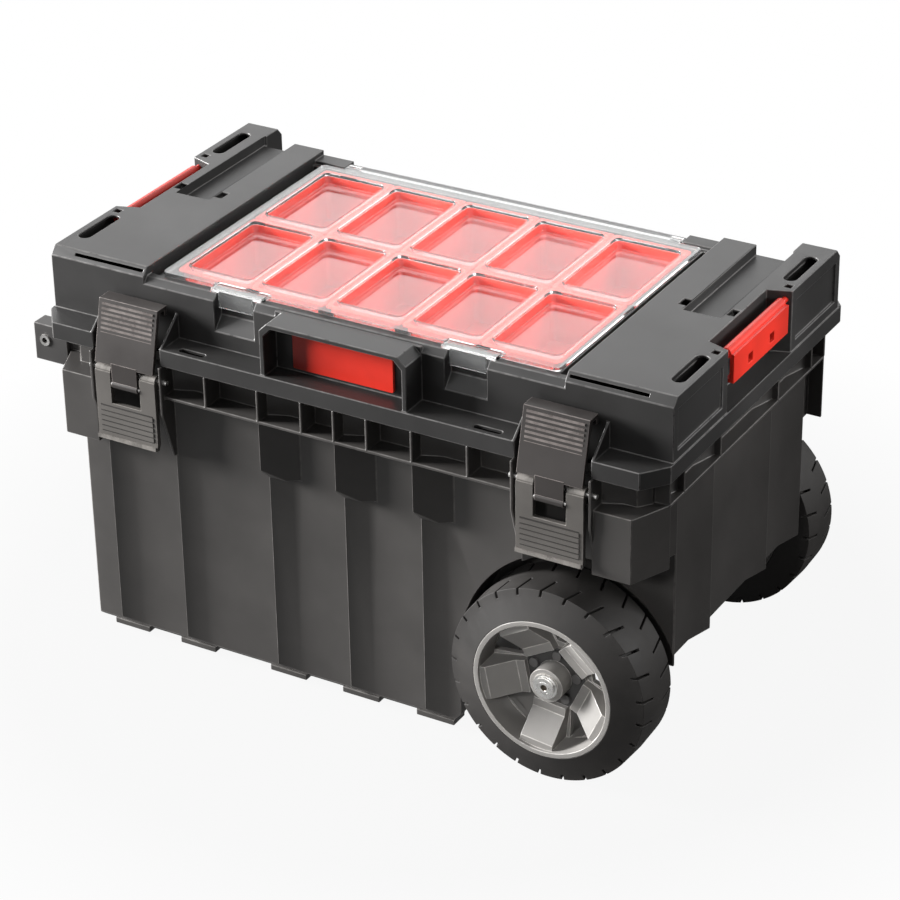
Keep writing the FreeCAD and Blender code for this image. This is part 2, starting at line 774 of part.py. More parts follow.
def rail_hollows():
    """Hollow of a rail and of its two ears, open from below."""
    top = rail_top - wall
    main = box(rail_inner_x + wall, notch_x - wall, -rail_front_y + wall, rail_rear_y - wall,
               flange_bottom - overrun, top)
    ear = box(notch_x + wall, rail_half_x - wall - ear_panel_in, notch_outer_half + wall,
              rail_front_y - rail_bevel_y - wall, flange_bottom - overrun, top)
    return [main, ear, flip_y(ear)]


def rail_pan():
    """Walls of the sunk trough in a rail, which takes a stacked box's foot and is open at the back."""
    return box(trough_x0 - wall, trough_x1 + wall, trough_front_y - wall, rail_rear_y,
               rail_top - trough_depth - wall, rail_top)


def rail_openings():
    """Trough, slots and small holes in the top of a rail."""
    high = rail_top + overrun
    low = rail_top - wall - overrun
    cuts = [box(trough_x0, trough_x1, trough_front_y, rail_rear_y + overrun, rail_top - trough_depth, high)]
    offset = keyhole_gap + keyhole_w / 2
    for x in (trough_x0 - offset, trough_x1 + offset):
        cuts.append(box(x - keyhole_w / 2, x + keyhole_w / 2, keyhole_y - keyhole_l / 2,
                        keyhole_y + keyhole_l / 2, low, high))
    slot = slot_y(rail_half_x - ear_slot_in, notch_outer_half + ear_slot_gap, rail_front_y - ear_slot_end,
                  ear_slot_half_w, low, high)
    hole_x = rail_half_x - ear_hole_in
    hole_y = notch_outer_half + ear_hole_gap
    hole = box(hole_x - ear_hole / 2, hole_x + ear_hole / 2, hole_y - ear_hole / 2, hole_y + ear_hole / 2,
               low, high)
    cuts += [slot, flip_y(slot), hole, flip_y(hole)]
    reach = notch_outer_half + stack_trunnion_l
    cuts.append(rod_y(stack_rod_x, stack_rod_z, stack_trunnion_r + run_fit, -reach, reach))
    return cuts


def deck():
    """Middle of the lid between the rails, with the tray for the cups."""
    body = box(-rail_inner_x - overrun, rail_inner_x + overrun, -rail_front_y, tray_rear_y + deck_rear_w,
               flange_top - wall, deck_z)
    bevel = prism_x([(-rail_front_y - overrun, deck_z - deck_bevel - overrun),
                     (-rail_front_y + deck_bevel + overrun, deck_z + overrun),
                     (-rail_front_y - overrun, deck_z + overrun)], -rail_inner_x, rail_inner_x)
    tray = box(-tray_half_x, tray_half_x, -tray_front_y, tray_rear_y, flange_top, deck_z + overrun)
    groove = box(cover_half_x + swing_gap, rail_inner_x, -cover_front_y, cover_rear_y,
                 deck_z - groove_depth, deck_z + overrun)
    hinge_block = box(cover_hinge_half + swing_gap, rail_inner_x + overrun, cover_rear_y + cover_block_gap,
                      rail_rear_y, flange_top - wall, rail_top - cover_block_drop)
    back_y = rail_front_y - clip_recess_in
    recess = prism_x([(-rail_front_y - overrun, deck_z - clip_recess_front_drop),
                      (-back_y, deck_z - clip_recess_back_drop), (-back_y, deck_z + overrun),
                      (-rail_front_y - overrun, deck_z + overrun)],
                     clip_x - clip_recess_half, clip_x + clip_recess_half)
    body = body.cut([bevel, tray] + both_ends(groove) + both_ends(recess))
    return body.fuse(both_ends(hinge_block))


def badge_hood():
    """Hooded recess in the middle of the lid's front."""
    block = box(-hood_half, hood_half, -hood_front_y, -rail_front_y + wall, flange_top - wall, hood_top)
    half = hood_half - hood_t
    top = hood_top - hood_t
    opening = prism_y([(-half, flange_top), (half, flange_top), (half, top - hood_corner),
                       (half - hood_corner, top), (-half + hood_corner, top), (-half, top - hood_corner)],
                      -hood_front_y - overrun, -badge_back_y)
    outside = prism_y([(hood_half + overrun, hood_top - hood_corner - overrun),
                       (hood_half - hood_corner - overrun, hood_top + overrun),
                       (hood_half + overrun, hood_top + overrun)], -hood_front_y - overrun, -rail_front_y)
    return block.cut([opening] + both_ends(outside))


def latch_braces():
    """Ribs on the lid beside each latch."""
    top = flange_top + brace_rise
    outline = [(-lid_half_y, flange_top), (-rail_front_y, top), (-rail_front_y + wall, top),
               (-rail_front_y + wall, flange_bottom), (-lid_half_y, flange_bottom)]
    pieces = []
    for x in (cheek_near, cheek_far):
        pieces += both_ends(prism_x(outline, x - rib / 2, x + rib / 2))
    return pieces


def lid_knuckles():
    """The lid's halves of its hinge, on arms down from the flange."""
    pieces = []
    for x0, x1 in lid_hinge_spans():
        arm = box(x0, x1, lid_half_y - wall, hinge_y + hinge_knuckle_r, hinge_z, flange_top)
        clear = box(x0 - overrun, x1 + overrun, rim_half_y - rim_flange_in - overrun, lid_half_y,
                    hinge_z - overrun, flange_bottom)
        pieces += both_ends(rod_x(hinge_y, hinge_z, hinge_knuckle_r, x0, x1).fuse(arm).cut(clear))
    return pieces


def lid_shell():
    flange = prism_z(bevelled_outline(lid_half_x, lid_half_y, lid_corner_x, lid_corner_y),
                     flange_bottom, flange_top)
    hollow = prism_z(bevelled_outline(lid_half_x - wall, lid_half_y - wall, lid_corner_x, lid_corner_y),
                     flange_bottom - overrun, flange_top - wall)
    column = box(cheek_near, cheek_far, -lid_half_y - overrun, -rail_front_y,
                 flange_bottom - overrun, flange_top + overrun)
    slot = slot_x(cheek_near - flange_slot_gap, -lid_half_y + flange_slot_in, flange_slot_half_l,
                  flange_slot_half_w, flange_top - wall - overrun, flange_top + overrun)
    flange = flange.cut([hollow] + both_ends(column) + both_ends(slot))
    column_wall = box(cheek_near, cheek_far, -rail_front_y, -rail_front_y + wall, flange_bottom, flange_top)
    body = flange.fuse(both_ends(rail()) + [deck(), badge_hood()] + latch_braces() + both_ends(column_wall))
    for hollow in rail_hollows():
        body = body.cut(both_ends(hollow))
    body = body.fuse(both_ends(rail_pan()) + lid_knuckles())
    for opening in rail_openings():
        body = body.cut(both_ends(opening))
    reach = cover_hinge_half + cover_pin_l
    bores = [rod_x(hinge_y, hinge_z, hinge_rod_r + run_fit, -rim_half_x, rim_half_x),
             rod_x(cover_hinge_y, cover_hinge_z, cover_pin_r + push_fit, -reach, reach)]
    return one_solid(body.cut(bores))


def badge_plate():
    """Plain plate in the hood."""
    half = hood_half - hood_t - badge_side_gap
    low = flange_top + badge_lift
    plate = rounded_box(-half, half, low, low + badge_h, 0, badge_t, badge_corner_r)
    plate.rotate(Vector(0, 0, 0), Vector(1, 0, 0), 90)
    plate.translate(Vector(0, -badge_back_y - seat_gap / 2, 0))
    return plate


def cup(x, y):
    """One open cup with a broad rim, standing in the tray."""
    half_x = (cup_pitch_x - cup_gap) / 2
    half_y = (cup_pitch_y - cup_gap) / 2
    inner_x, inner_y = half_x - cup_rim_w, half_y - cup_rim_w
    top_rim = rounded_box(x - half_x, x + half_x, y - half_y, y + half_y, cup_top - cup_rim_t, cup_top,
                          cup_rim_corner_r)
    body = rounded_box(x - inner_x - cup_wall, x + inner_x + cup_wall, y - inner_y - cup_wall,
                       y + inner_y + cup_wall, cup_z0, cup_top, cup_corner_r)
    space = rounded_box(x - inner_x, x + inner_x, y - inner_y, y + inner_y, cup_z0 + cup_wall,
                        cup_top + overrun, cup_corner_r - cup_wall)
    return one_solid(body.fuse(top_rim).cut(space))


# Clear cover

def clear_cover():
    plate = rounded_box(-cover_half_x, cover_half_x, -cover_front_y, cover_rear_y, cover_z0, cover_top,
                        cover_corner_r)
    tongue = box(-cover_hinge_half, cover_hinge_half, cover_rear_y - cover_corner_r, cover_hinge_y,
                 cover_z0, cover_top)
    barrel = rod_x(cover_hinge_y, cover_hinge_z, cover_barrel_r, -cover_hinge_half, cover_hinge_half)
    dishes = []
    windows = []
    floor_z = cover_z0 - pocket_depth
    half_x = (cup_pitch_x - window_margin_x) / 2
    half_y = (cup_pitch_y - window_margin_y) / 2
    for x in cup_xs:
        for y in cup_row_ys:
            dishes.append(dish(x, y, half_x + pocket_wall, half_y + pocket_wall, floor_z, cover_top,
                               pocket_draft, pocket_corner_r + pocket_wall))
            windows.append(dish(x, y, half_x, half_y, floor_z + pocket_wall, cover_top,
                                pocket_draft, pocket_corner_r))
    notch = box(clip_x - clip_half - swing_gap / 2, clip_x + clip_half + swing_gap / 2,
                -cover_front_y - overrun, -clip_axis_y + clip_notch_gap,
                cover_z0 - overrun, cover_top + overrun)
    reach = clip_half + clip_trunnion_l
    trunnion_bore = rod_x(-clip_axis_y, clip_axis_z, clip_trunnion_r + run_fit, clip_x - reach - swing_gap,
                          clip_x + reach + swing_gap)
    pin_bore = rod_x(cover_hinge_y, cover_hinge_z, cover_pin_r + run_fit,
                     cover_hinge_half - cover_pin_l / 2 - swing_gap, cover_hinge_half + overrun)
    body = plate.fuse([tongue, barrel] + dishes)
    return one_solid(body.cut(windows + both_ends(notch) + both_ends(trunnion_bore) + both_ends(pin_bore)))


def cover_pin():
    """Pin at the right end of the clear cover's hinge."""
    half = cover_pin_l / 2
    return rod_x(cover_hinge_y, cover_hinge_z, cover_pin_r, cover_hinge_half - half, cover_hinge_half + half)


def cover_clip():
    """Clear clip on the cover's front edge, on the right."""
    bar_back = clip_axis_y + clip_barrel_r
    bar = prism_x([(-clip_axis_y, cover_top - clip_t), (-clip_axis_y, cover_top),
                   (-clip_front_y + clip_t, cover_top), (-clip_front_y, cover_top - clip_t)],
                  clip_x - clip_half, clip_x + clip_half)
    tab = prism_x([(-clip_front_y, cover_top - clip_t), (-clip_front_y + clip_t, cover_top - clip_t),
                   (-clip_front_y + clip_t, cover_top - clip_drop), (-clip_front_y, cover_top - clip_drop)],
                  clip_x - clip_half + clip_tab_in, clip_x + clip_half - clip_tab_in)
    barrel = rod_x(-clip_axis_y, clip_axis_z, clip_barrel_r, clip_x - clip_half, clip_x + clip_half)
    reach = clip_half + clip_trunnion_l
    trunnion = rod_x(-clip_axis_y, clip_axis_z, clip_trunnion_r, clip_x - reach, clip_x + reach)
    # the bar's corner over the axis is rounded off to the barrel
    corner = box(clip_x - clip_half, clip_x + clip_half, -bar_back, -clip_axis_y,
                 clip_axis_z, cover_top)
    return one_solid(bar.cut(corner).fuse([barrel, tab, trunnion]))


# Stacking clip on the right end

def stack_clip():
    bar = rod_y(stack_rod_x, stack_rod_z, stack_rod_r, -stack_half_y, stack_half_y)
    reach = notch_outer_half + stack_trunnion_l - swing_gap
    trunnion = rod_y(stack_rod_x, stack_rod_z, stack_trunnion_r, -reach, reach)
    plate = box(lid_half_x - stack_plate_t, lid_half_x, -stack_half_y, stack_half_y,
                stack_bottom, stack_rod_z)
    lip = box(lid_half_x - stack_plate_t - stack_lip_w, lid_half_x, -stack_half_y, stack_half_y,
              stack_bottom, stack_bottom + stack_lip_t)
    holes = []
    hole_z = stack_bottom + stack_hole_lift
    for y in (-stack_hole_y, stack_hole_y):
        holes.append(box(lid_half_x - stack_plate_t - overrun, lid_half_x + overrun,
                         y - stack_hole / 2, y + stack_hole / 2,
                         hole_z - stack_hole / 2, hole_z + stack_hole / 2))
    return one_solid(bar.fuse([trunnion, plate, lip]).cut(holes))


# Latch on the right

def latch_pin():
    return rod_x(-latch_pin_y, latch_pin_z, latch_pin_r, latch_x - latch_pin_half, latch_x + latch_pin_half)


def latch_lever():
    """Lever that swings on the latch pin and carries the hook plate."""
    inner_y = lever_front_y - lever_t
    low = latch_pin_z - lever_drop
    foot_z = low + lever_foot_h
    outline = [(-lever_front_y, latch_pin_z), (-inner_y, latch_pin_z), (-inner_y, foot_z),
               (-inner_y - lever_foot_out, low), (-lever_front_y - lever_foot_out, low),
               (-lever_front_y, foot_z)]
    plate = prism_x(outline, latch_x - lever_half, latch_x + lever_half)
    knuckle = rod_x(-latch_pin_y, latch_pin_z, knuckle_r, latch_x - lever_half, latch_x + lever_half)
    slot = box(latch_x - lever_slot_half, latch_x + lever_slot_half, -lever_front_y - overrun,
               -latch_pin_y + knuckle_r + overrun, hook_pin_z - lever_window_h,
               latch_pin_z + knuckle_r + overrun)
    bore = rod_x(-latch_pin_y, latch_pin_z, latch_pin_r + run_fit, latch_x - latch_pin_half,
                 latch_x + latch_pin_half)
    grip = lever_slot_half + hook_pin_grip
    hook_bore = rod_x(-hook_pin_y, hook_pin_z, hook_pin_r + push_fit, latch_x - grip, latch_x + grip)
    return one_solid(plate.fuse(knuckle).cut([slot, bore, hook_bore]))


def hook_pin():
    grip = lever_slot_half + hook_pin_grip
    return rod_x(-hook_pin_y, hook_pin_z, hook_pin_r, latch_x - grip, latch_x + grip)


def latch_hook():
    """Plate that leans on the lid, with a nose at its top and a tongue round its pin."""
    top_y = hook_front_y - hook_lean
    nose_back = hook_nose_y + hook_nose_t
    nose_z = hook_top - hook_nose_drop
    outline = [(-hook_front_y, hook_bottom), (-top_y, hook_top), (-hook_nose_y, hook_top),
               (-hook_nose_y, nose_z), (-nose_back, nose_z), (-nose_back, hook_top - hook_t),
               (-top_y + hook_t, hook_top - hook_t), (-hook_front_y + hook_t, hook_bottom)]
    half = lever_half - hook_side_in
    plate = prism_x(outline, latch_x - half, latch_x + half)
    half = lever_slot_half - tongue_gap
    tongue = box(latch_x - half, latch_x + half, -hook_front_y, -hook_front_y + hook_t,
                 hook_pin_z, hook_bottom + hook_t / 2)
    barrel = rod_x(-hook_pin_y, hook_pin_z, hook_pin_r + hook_barrel_t, latch_x - half, latch_x + half)
    bore = rod_x(-hook_pin_y, hook_pin_z, hook_pin_r + run_fit, latch_x - lever_half, latch_x + lever_half)
    return one_solid(plate.fuse([tongue, barrel]).cut(bore))


# Pull handle

def handle_bracket():
    """Lug at the back of the left end that holds the handle's axle."""
    out_x = handle_axis_x - bracket_out
    block = box(out_x, -rim_half_x - seat_gap, bracket_y0, bracket_y1,
                handle_axis_z - bracket_below, handle_axis_z + bracket_above)
    root = box(-rim_half_x - seat_gap, -tub_half_x - wedge_out - seat_gap, bracket_y0,
               rim_half_y - rim_corner_y - rib, rim_lip_z + seat_gap, rim_top - rim_flange_t - seat_gap)
    bore = rod_y(handle_axis_x, handle_axis_z, handle_axle_r + push_fit,
                 bracket_y0 - overrun, bracket_y1 + overrun)
    return one_solid(block.fuse(root).cut(bore))


def handle_axle():
    """Tube through both lugs, which the handle turns on."""
    end = bracket_y1 + handle_axle_proud
    tube = rod_y(handle_axis_x, handle_axis_z, handle_axle_r, -end, end)
    return tube.cut(rod_y(handle_axis_x, handle_axis_z, handle_axle_bore_r, -end - overrun, end + overrun))


def handle_arm():
    """Arm at the back, from an eye on the axle down to the grip."""
    y0 = handle_arm_y
    y1 = handle_arm_y + handle_arm_w
    half = handle_arm_t / 2
    bar = box(handle_axis_x - half, handle_axis_x + half, y0, y1, grip_z, handle_axis_z)
    eye = rod_y(handle_axis_x, handle_axis_z, handle_eye_r, y0, y1)
    foot = rod_y(handle_axis_x, grip_z, handle_grip_r, y0, y1)
    bores = [rod_y(handle_axis_x, handle_axis_z, handle_axle_r + run_fit, y0 - overrun, y1 + overrun),
             rod_y(handle_axis_x, grip_z, handle_core_r + push_fit, y0 - overrun, y1 + overrun)]
    return one_solid(bar.fuse([eye, foot]).cut(bores))


def handle_core():
    """Steel tube between the ends of the two arms."""
    end = handle_arm_y + handle_arm_w
    return rod_y(handle_axis_x, grip_z, handle_core_r, -end, end)


def handle_grip():
    """Soft sleeve on the tube, between the arms."""
    end = handle_arm_y - seat_gap
    sleeve = rod_y(handle_axis_x, grip_z, handle_grip_r, -end + handle_grip_margin, end - handle_grip_margin)
    collars = rod_y(handle_axis_x, grip_z, handle_core_r + wall, -end, end)
    bore = rod_y(handle_axis_x, grip_z, handle_core_r + push_fit, -end - overrun, end + overrun)
    return one_solid(sleeve.fuse(collars).cut(bore))


def handle_spacer():
    """Sleeve on the axle that keeps the arms apart."""
    end = handle_arm_y - seat_gap
    sleeve = rod_y(handle_axis_x, handle_axis_z, handle_axle_r + handle_collar_t, -end, end)
    bore = rod_y(handle_axis_x, handle_axis_z, handle_axle_r + run_fit, -end - overrun, end + overrun)
    return sleeve.cut(bore)


# Rear wheel; the front one is its mirror image

def turned(points):
    """A ring about the axle from its section (radius, distance outwards from the tyre's middle)."""
    corners = [Vector(wheel_x + r, wheel_y + y, axle_z) for r, y in points]
    face = Part.Face(Part.makePolygon(corners + corners[:1]))
    return face.revolve(Vector(wheel_x, 0, axle_z), Vector(0, 1, 0), 360)


def about_axle(shape, i, count):
    """The i-th of a number of copies around the axle."""
    copy = shape.copy()
    copy.rotate(Vector(wheel_x, 0, axle_z), Vector(0, 1, 0), i * 360 / count)
    return copy


def tread_gaps():
    """Slanting gaps between the blocks, on both sides of the plain band."""
    y0 = wheel_y + tread_rib_w / 2
    outer = box(wheel_x - tread_gap_w / 2, wheel_x + tread_gap_w / 2, y0, wheel_y + tyre_w / 2,
                axle_z + tyre_r - tread_gap_depth, axle_z + tyre_r + overrun)
    outer.rotate(Vector(wheel_x, y0, axle_z), Vector(0, 0, 1), tread_gap_slant)
    inner = outer.mirror(Vector(0, wheel_y, 0), Vector(0, 1, 0))
    return ([about_axle(outer, i, tread_blocks) for i in range(tread_blocks)]
            + [about_axle(inner, i + 1 / 2, tread_blocks) for i in range(tread_blocks)])


def tyre():
    half = tyre_w / 2
    edge_y = tread_w / 2
    edge_r = tyre_r - tyre_crown
    wall_y = edge_y + shoulder_out
    wall_r = edge_r - shoulder_h
    seat_r = rim_lip_r + rim_fit
    body = turned([(tyre_bore_r, -half), (rim_lip_r, -half), (wall_r, -wall_y), (edge_r, -edge_y),
                   (tyre_r, 0), (edge_r, edge_y), (wall_r, wall_y), (seat_r, half),
                   (seat_r, half - tyre_lip_depth), (tyre_bore_r, half - tyre_lip_depth)])
    return one_solid(body.cut(tread_gaps()))


def wheel_rim():
    half = tyre_w / 2
    outer = rim_barrel_r
    inner = rim_inner_r
    lip_back = half - tyre_lip_depth + rim_fit
    barrel = turned([(inner, -half), (outer, -half), (outer, lip_back), (rim_lip_r, lip_back),
                     (rim_lip_r, half - rim_fit), (inner, half - rim_fit)])
    web = rod_y(wheel_x, axle_z, outer - rim_barrel_t / 2, wheel_y + rim_web_y, wheel_y + rim_face)
    core = rod_y(wheel_x, axle_z, bearing_r + hub_core_t, wheel_y - hub_back, wheel_y + rim_face)
    turn = 2 * math.pi / hub_sides
    hub = prism_y([(wheel_x + hub_r * math.cos(i * turn), axle_z + hub_r * math.sin(i * turn))
                   for i in range(hub_sides)], wheel_y + rim_web_y, wheel_y + hub_front)
    boss = rod_y(wheel_x, axle_z, bearing_r + boss_t, wheel_y + rim_web_y, wheel_y + boss_front)
    spoke = prism([Vector(wheel_x - spoke_half_w, wheel_y + y, axle_z + r) for r, y in (
        (spoke_root_share * inner, rim_web_y),
        (spoke_root_share * inner, rim_face + spoke_foot_h),
        (spoke_foot_share * inner, rim_face + spoke_foot_h),
        (spoke_head_share * inner, rim_face + spoke_head_h),
        (inner, rim_face + spoke_head_h), (inner, rim_web_y))], Vector(2 * spoke_half_w, 0, 0))
    low = axle_z + window_inner_share * inner
    high = axle_z + window_outer_share * inner
    window = prism_y([(wheel_x - window_inner_half_w, low), (wheel_x + window_inner_half_w, low),
                      (wheel_x + window_outer_half_w, high), (wheel_x - window_outer_half_w, high)],
                     wheel_y + rim_web_y - overrun, wheel_y + rim_face + overrun)
    spokes = [about_axle(spoke, i + 1 / 2 + spoke_turn_share, spoke_count) for i in range(spoke_count)]
    windows = [about_axle(window, i + spoke_turn_share, spoke_count) for i in range(spoke_count)]
    seats = [rod_y(wheel_x, axle_z, bearing_r + push_fit, wheel_y + boss_front + bearing_proud - bearing_w,
                   wheel_y + boss_front + overrun),
             rod_y(wheel_x, axle_z, bearing_r + push_fit, wheel_y - hub_back - overrun,
                   wheel_y - hub_back + bearing_w),
             rod_y(wheel_x, axle_z, axle_r + wall, wheel_y - hub_back, wheel_y + boss_front)]
    body = web.cut(windows).fuse([barrel, core, hub, boss] + spokes)
    return one_solid(body.cut(seats))


def bearing(y0):
    """Bearing on the axle, its back face at y0 outwards from the tyre's middle."""
    return turned([(axle_r + run_fit, y0), (bearing_r, y0), (bearing_r, y0 + bearing_w),
                   (axle_r + run_fit, y0 + bearing_w)])


def lug_nuts():
    """Ring of round nut heads on the hub plate, between the spokes."""
    nut = rod_y(wheel_x, axle_z + hub_r - nut_in, nut_r, wheel_y + hub_front + rim_fit,
                wheel_y + hub_front + rim_fit + nut_h)
    return Part.makeCompound([about_axle(nut, i + spoke_turn_share, spoke_count) for i in range(spoke_count)])


# All pieces

nodes = {"tub_shell": tub_shell(), "lid_hinge_rod": hinge_rod(), "axle": axle(), "lid_shell": lid_shell(),
         "badge_plate": badge_plate(), "clear_cover": clear_cover(), "handle_axle": handle_axle(),
         "handle_core": handle_core(), "handle_grip": handle_grip(), "handle_spacer": handle_spacer()}

for side, place in (("right", as_built), ("left", flip_x)):
    nodes["latch_pin_" + side] = place(latch_pin())
    nodes["latch_lever_" + side] = place(latch_lever())
    nodes["latch_hook_" + side] = place(latch_hook())
    nodes["hook_pin_" + side] = place(hook_pin())
    nodes["cover_pin_" + side] = place(cover_pin())
    nodes["cover_clip_" + side] = place(cover_clip())
    nodes["stack_clip_" + side] = place(stack_clip())

for side, place in (("rear", as_built), ("front", flip_y)):
    nodes["tyre_" + side] = place(tyre())
    nodes["wheel_rim_" + side] = place(wheel_rim())
    nodes["outer_bearing_" + side] = place(bearing(boss_front + bearing_proud - bearing_w))
    nodes["inner_bearing_" + side] = place(bearing(-hub_back))
    nodes["lug_nuts_" + side] = place(lug_nuts())
    nodes["axle_retainer_" + side] = place(axle_retainer())
    nodes["handle_bracket_" + side] = place(handle_bracket())
    nodes["handle_arm_" + side] = place(handle_arm())

for row, y in zip(("front", "rear"), cup_row_ys):
    for i, x in enumerate(cup_xs):
        nodes["cup_" + row + "_" + str(i + 1)] = cup(x, y)

os.makedirs("parts", exist_ok=True)
for name, shape in nodes.items():
    shape.exportStep(os.path.join("parts", name + ".step"))
print(len(nodes), "pieces")
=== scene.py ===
import math

import bmesh
import bpy
from bpy.props import FloatProperty, FloatVectorProperty, IntProperty, PointerProperty
from mathutils import Matrix, Vector


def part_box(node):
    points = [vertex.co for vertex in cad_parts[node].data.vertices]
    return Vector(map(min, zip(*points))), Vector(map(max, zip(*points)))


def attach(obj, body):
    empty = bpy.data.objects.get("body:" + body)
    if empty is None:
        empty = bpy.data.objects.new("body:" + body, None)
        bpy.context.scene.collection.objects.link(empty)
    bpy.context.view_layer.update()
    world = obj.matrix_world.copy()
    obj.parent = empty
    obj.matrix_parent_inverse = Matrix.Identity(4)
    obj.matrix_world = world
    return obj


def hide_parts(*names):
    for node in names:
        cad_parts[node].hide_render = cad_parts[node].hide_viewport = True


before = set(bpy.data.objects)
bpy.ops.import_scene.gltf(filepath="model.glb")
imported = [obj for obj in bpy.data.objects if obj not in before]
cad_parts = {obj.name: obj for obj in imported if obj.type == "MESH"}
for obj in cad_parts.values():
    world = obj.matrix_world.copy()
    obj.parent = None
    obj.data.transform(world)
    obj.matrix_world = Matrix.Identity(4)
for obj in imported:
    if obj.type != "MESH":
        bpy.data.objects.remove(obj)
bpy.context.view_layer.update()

bl_info = {
    "name": "Wheeled jobsite chest",
    "version": (1, 0, 0),
    "blender": (4, 5, 0),
    "location": "View3D > Sidebar > Chest",
    "description": "Dresses the packed chest in moulded plastic, rubber, steel and a clear cover",
    "category": "Object",
}

MM = 0.001
ENDS = ("left", "right")
SIDES = ("front", "rear")
CUPS_IN_ROW = 5
WHITE = (1, 1, 1, 1)

# Corners closer than MERGE are joined, and faces that turn by less than FLAT become one.
MERGE = 0.002 * MM
FLAT = math.radians(0.6)

# Edges sharper than SHARP are rounded. Those that turn by less than BEND where they meet are one line, and
# those that turn by less than STRAIGHT, in radians, don't count as turning. LEAST_SINE keeps some room where
# two edges lie nearly back to back.
SHARP = math.radians(32)
BEND = math.radians(40)
STRAIGHT = 0.02
LEAST_SINE = 0.1
ROUNDING_STEPS = 2

# Room for rounding an edge, as a share of the face beside it, with and without a rounded edge across the
# face. An edge with less room than the last share of its width stays sharp.
SHARED_ROOM = 0.4
OWN_ROOM = 0.8
LEAST_ROUNDING = 0.08

# How close a corner lies to the side of the box that it is on, and a face to the plate of the hub.
NEAR = 0.1 * MM
PLATE_NEAR = 0.5 * MM

# Parts of a face's normal along an axis, for a face that is square to it, along it or leaning towards it.
SQUARE = 0.9
ALONG = 0.5
LEANING = 0.2

# Corners round a ring of the grip, and round its section.
RING_CORNERS = 40
SECTION_CORNERS = 8


def colour_prop(name, description, red, green, blue):
    """A colour that shows as a swatch in the sidebar."""
    return FloatVectorProperty(name=name, description=description, subtype="COLOR", size=3,
                               min=0, max=1, default=(red, green, blue))


def length_prop(name, description, millimetres):
    """A length, written here in millimetres."""
    return FloatProperty(name=name, description=description, unit="LENGTH", default=millimetres * MM)


def count_prop(name, description, count):
    """A number of like shapes in a row."""
    return IntProperty(name=name, description=description, default=count, min=2)


def angle_prop(name, description, degrees):
    """An angle, written here in degrees."""
    return FloatProperty(name=name, description=description, subtype="ANGLE", default=math.radians(degrees))


def power_prop(name, description, watts):
    """A lamp's power."""
    return FloatProperty(name=name, description=description, unit="POWER", default=watts)


class ChestColours(bpy.types.PropertyGroup):
    """Colours of the chest's plastics, rubber and steel."""
    tub: colour_prop("Tub", "Moulded plastic of the tub", 0.058, 0.0545, 0.052)
    lid: colour_prop("Lid", "Moulded plastic of the lid", 0.030, 0.029, 0.0285)
    hook: colour_prop("Latch hooks", "Smooth plastic of the hook plates", 0.042, 0.037, 0.035)
    lever: colour_prop("Latch levers", "Smooth plastic of the levers", 0.120, 0.112, 0.104)
    handle: colour_prop("Handle", "Plastic of the pull handle and its lugs", 0.045, 0.043, 0.042)
    wheel: colour_prop("Wheels", "Plastic of the wheel rims", 0.27, 0.259, 0.246)
    hub: colour_prop("Hubs", "Hub plates and the nuts on them", 0.050, 0.048, 0.047)
    # The bores' brownish grey is painted shade inside the axle's hollow ends.
    bore: colour_prop("Axle bore", "Dull steel in the bores of the axle", 0.150, 0.125, 0.100)
    red: colour_prop("Red plastic", "Stacking clips and badge plate", 0.80, 0.034, 0.018)
    cup: colour_prop("Cups", "Cups under the clear cover", 0.74, 0.054, 0.036)
    clear: colour_prop("Clear plastic", "Tint of the clear cover", 0.97, 0.98, 0.98)
    tyre: colour_prop("Tyre", "Rubber of the tyres", 0.022, 0.0202, 0.019)
    grip: colour_prop("Grip", "Soft sleeve on the handle", 0.022, 0.022, 0.023)
    steel: colour_prop("Steel", "Zinc-plated pins, axle and bearings", 0.86, 0.85, 0.83)


class ChestSizes(bpy.types.PropertyGroup):
    """Sizes of the finer shapes."""
    edge: length_prop("Moulded edge", "Rounding of the tub's and lid's edges", 0.9)
    fine_edge: length_prop("Fine edge", "Rounding on latches, clips, cups and wheels", 0.5)
    ridge_margin: length_prop("Ridge margin", "From the ends of the finger ridges to the latch's sides", 4.0)
    hook_ridges: count_prop("Hook ridges", "Finger ridges on a hook plate", 7)
    hook_ridge_w: length_prop("Hook ridge width", "Width of a ridge on a hook plate", 2.2)
    hook_ridge_h: length_prop("Hook ridge height", "Height of a ridge on a hook plate", 1.2)
    hook_ridge_pitch: length_prop("Hook ridge pitch", "From one ridge on a hook plate to the next", 4.6)
    lever_ridges: count_prop("Lever ridges", "Flat ridges on a lever", 5)
    lever_ridge_w: length_prop("Lever ridge width", "Width of a ridge on a lever", 3.9)
    lever_ridge_h: length_prop("Lever ridge height", "Height of a ridge on a lever", 0.9)
    lever_ridge_pitch: length_prop("Lever ridge pitch", "From one ridge on a lever to the next", 5.3)
    # The dark sheet under a lever's ridges is painted shade between them.
    lever_shade_sheet_h: length_prop("Lever groove floor", "Height of the dull floor between the ridges", 0.15)
    lever_foot: length_prop("Lever foot", "From the foot of a lever to the middle of its first ridge", 10.5)
    lever_lip_w: length_prop("Lever lip width", "Width of the raised lip along a lever's foot", 3.6)
    lever_lip_h: length_prop("Lever lip height", "Height of the raised lip along a lever's foot", 0.8)
    # The caps above this height take a painted highlight where they face up and forward.
    lever_cap: length_prop("Lever cap", "Height of the rubbed caps over a lever's pin", 8.0)
    grip_rings: count_prop("Grip rings", "Rings moulded round the handle's grip", 15)
    grip_ring_r: length_prop("Grip ring radius", "Thickness of a ring on the grip, halved", 1.2)
    grip_margin: length_prop("Grip margin", "From the ends of the grip to its first ring", 14.0)


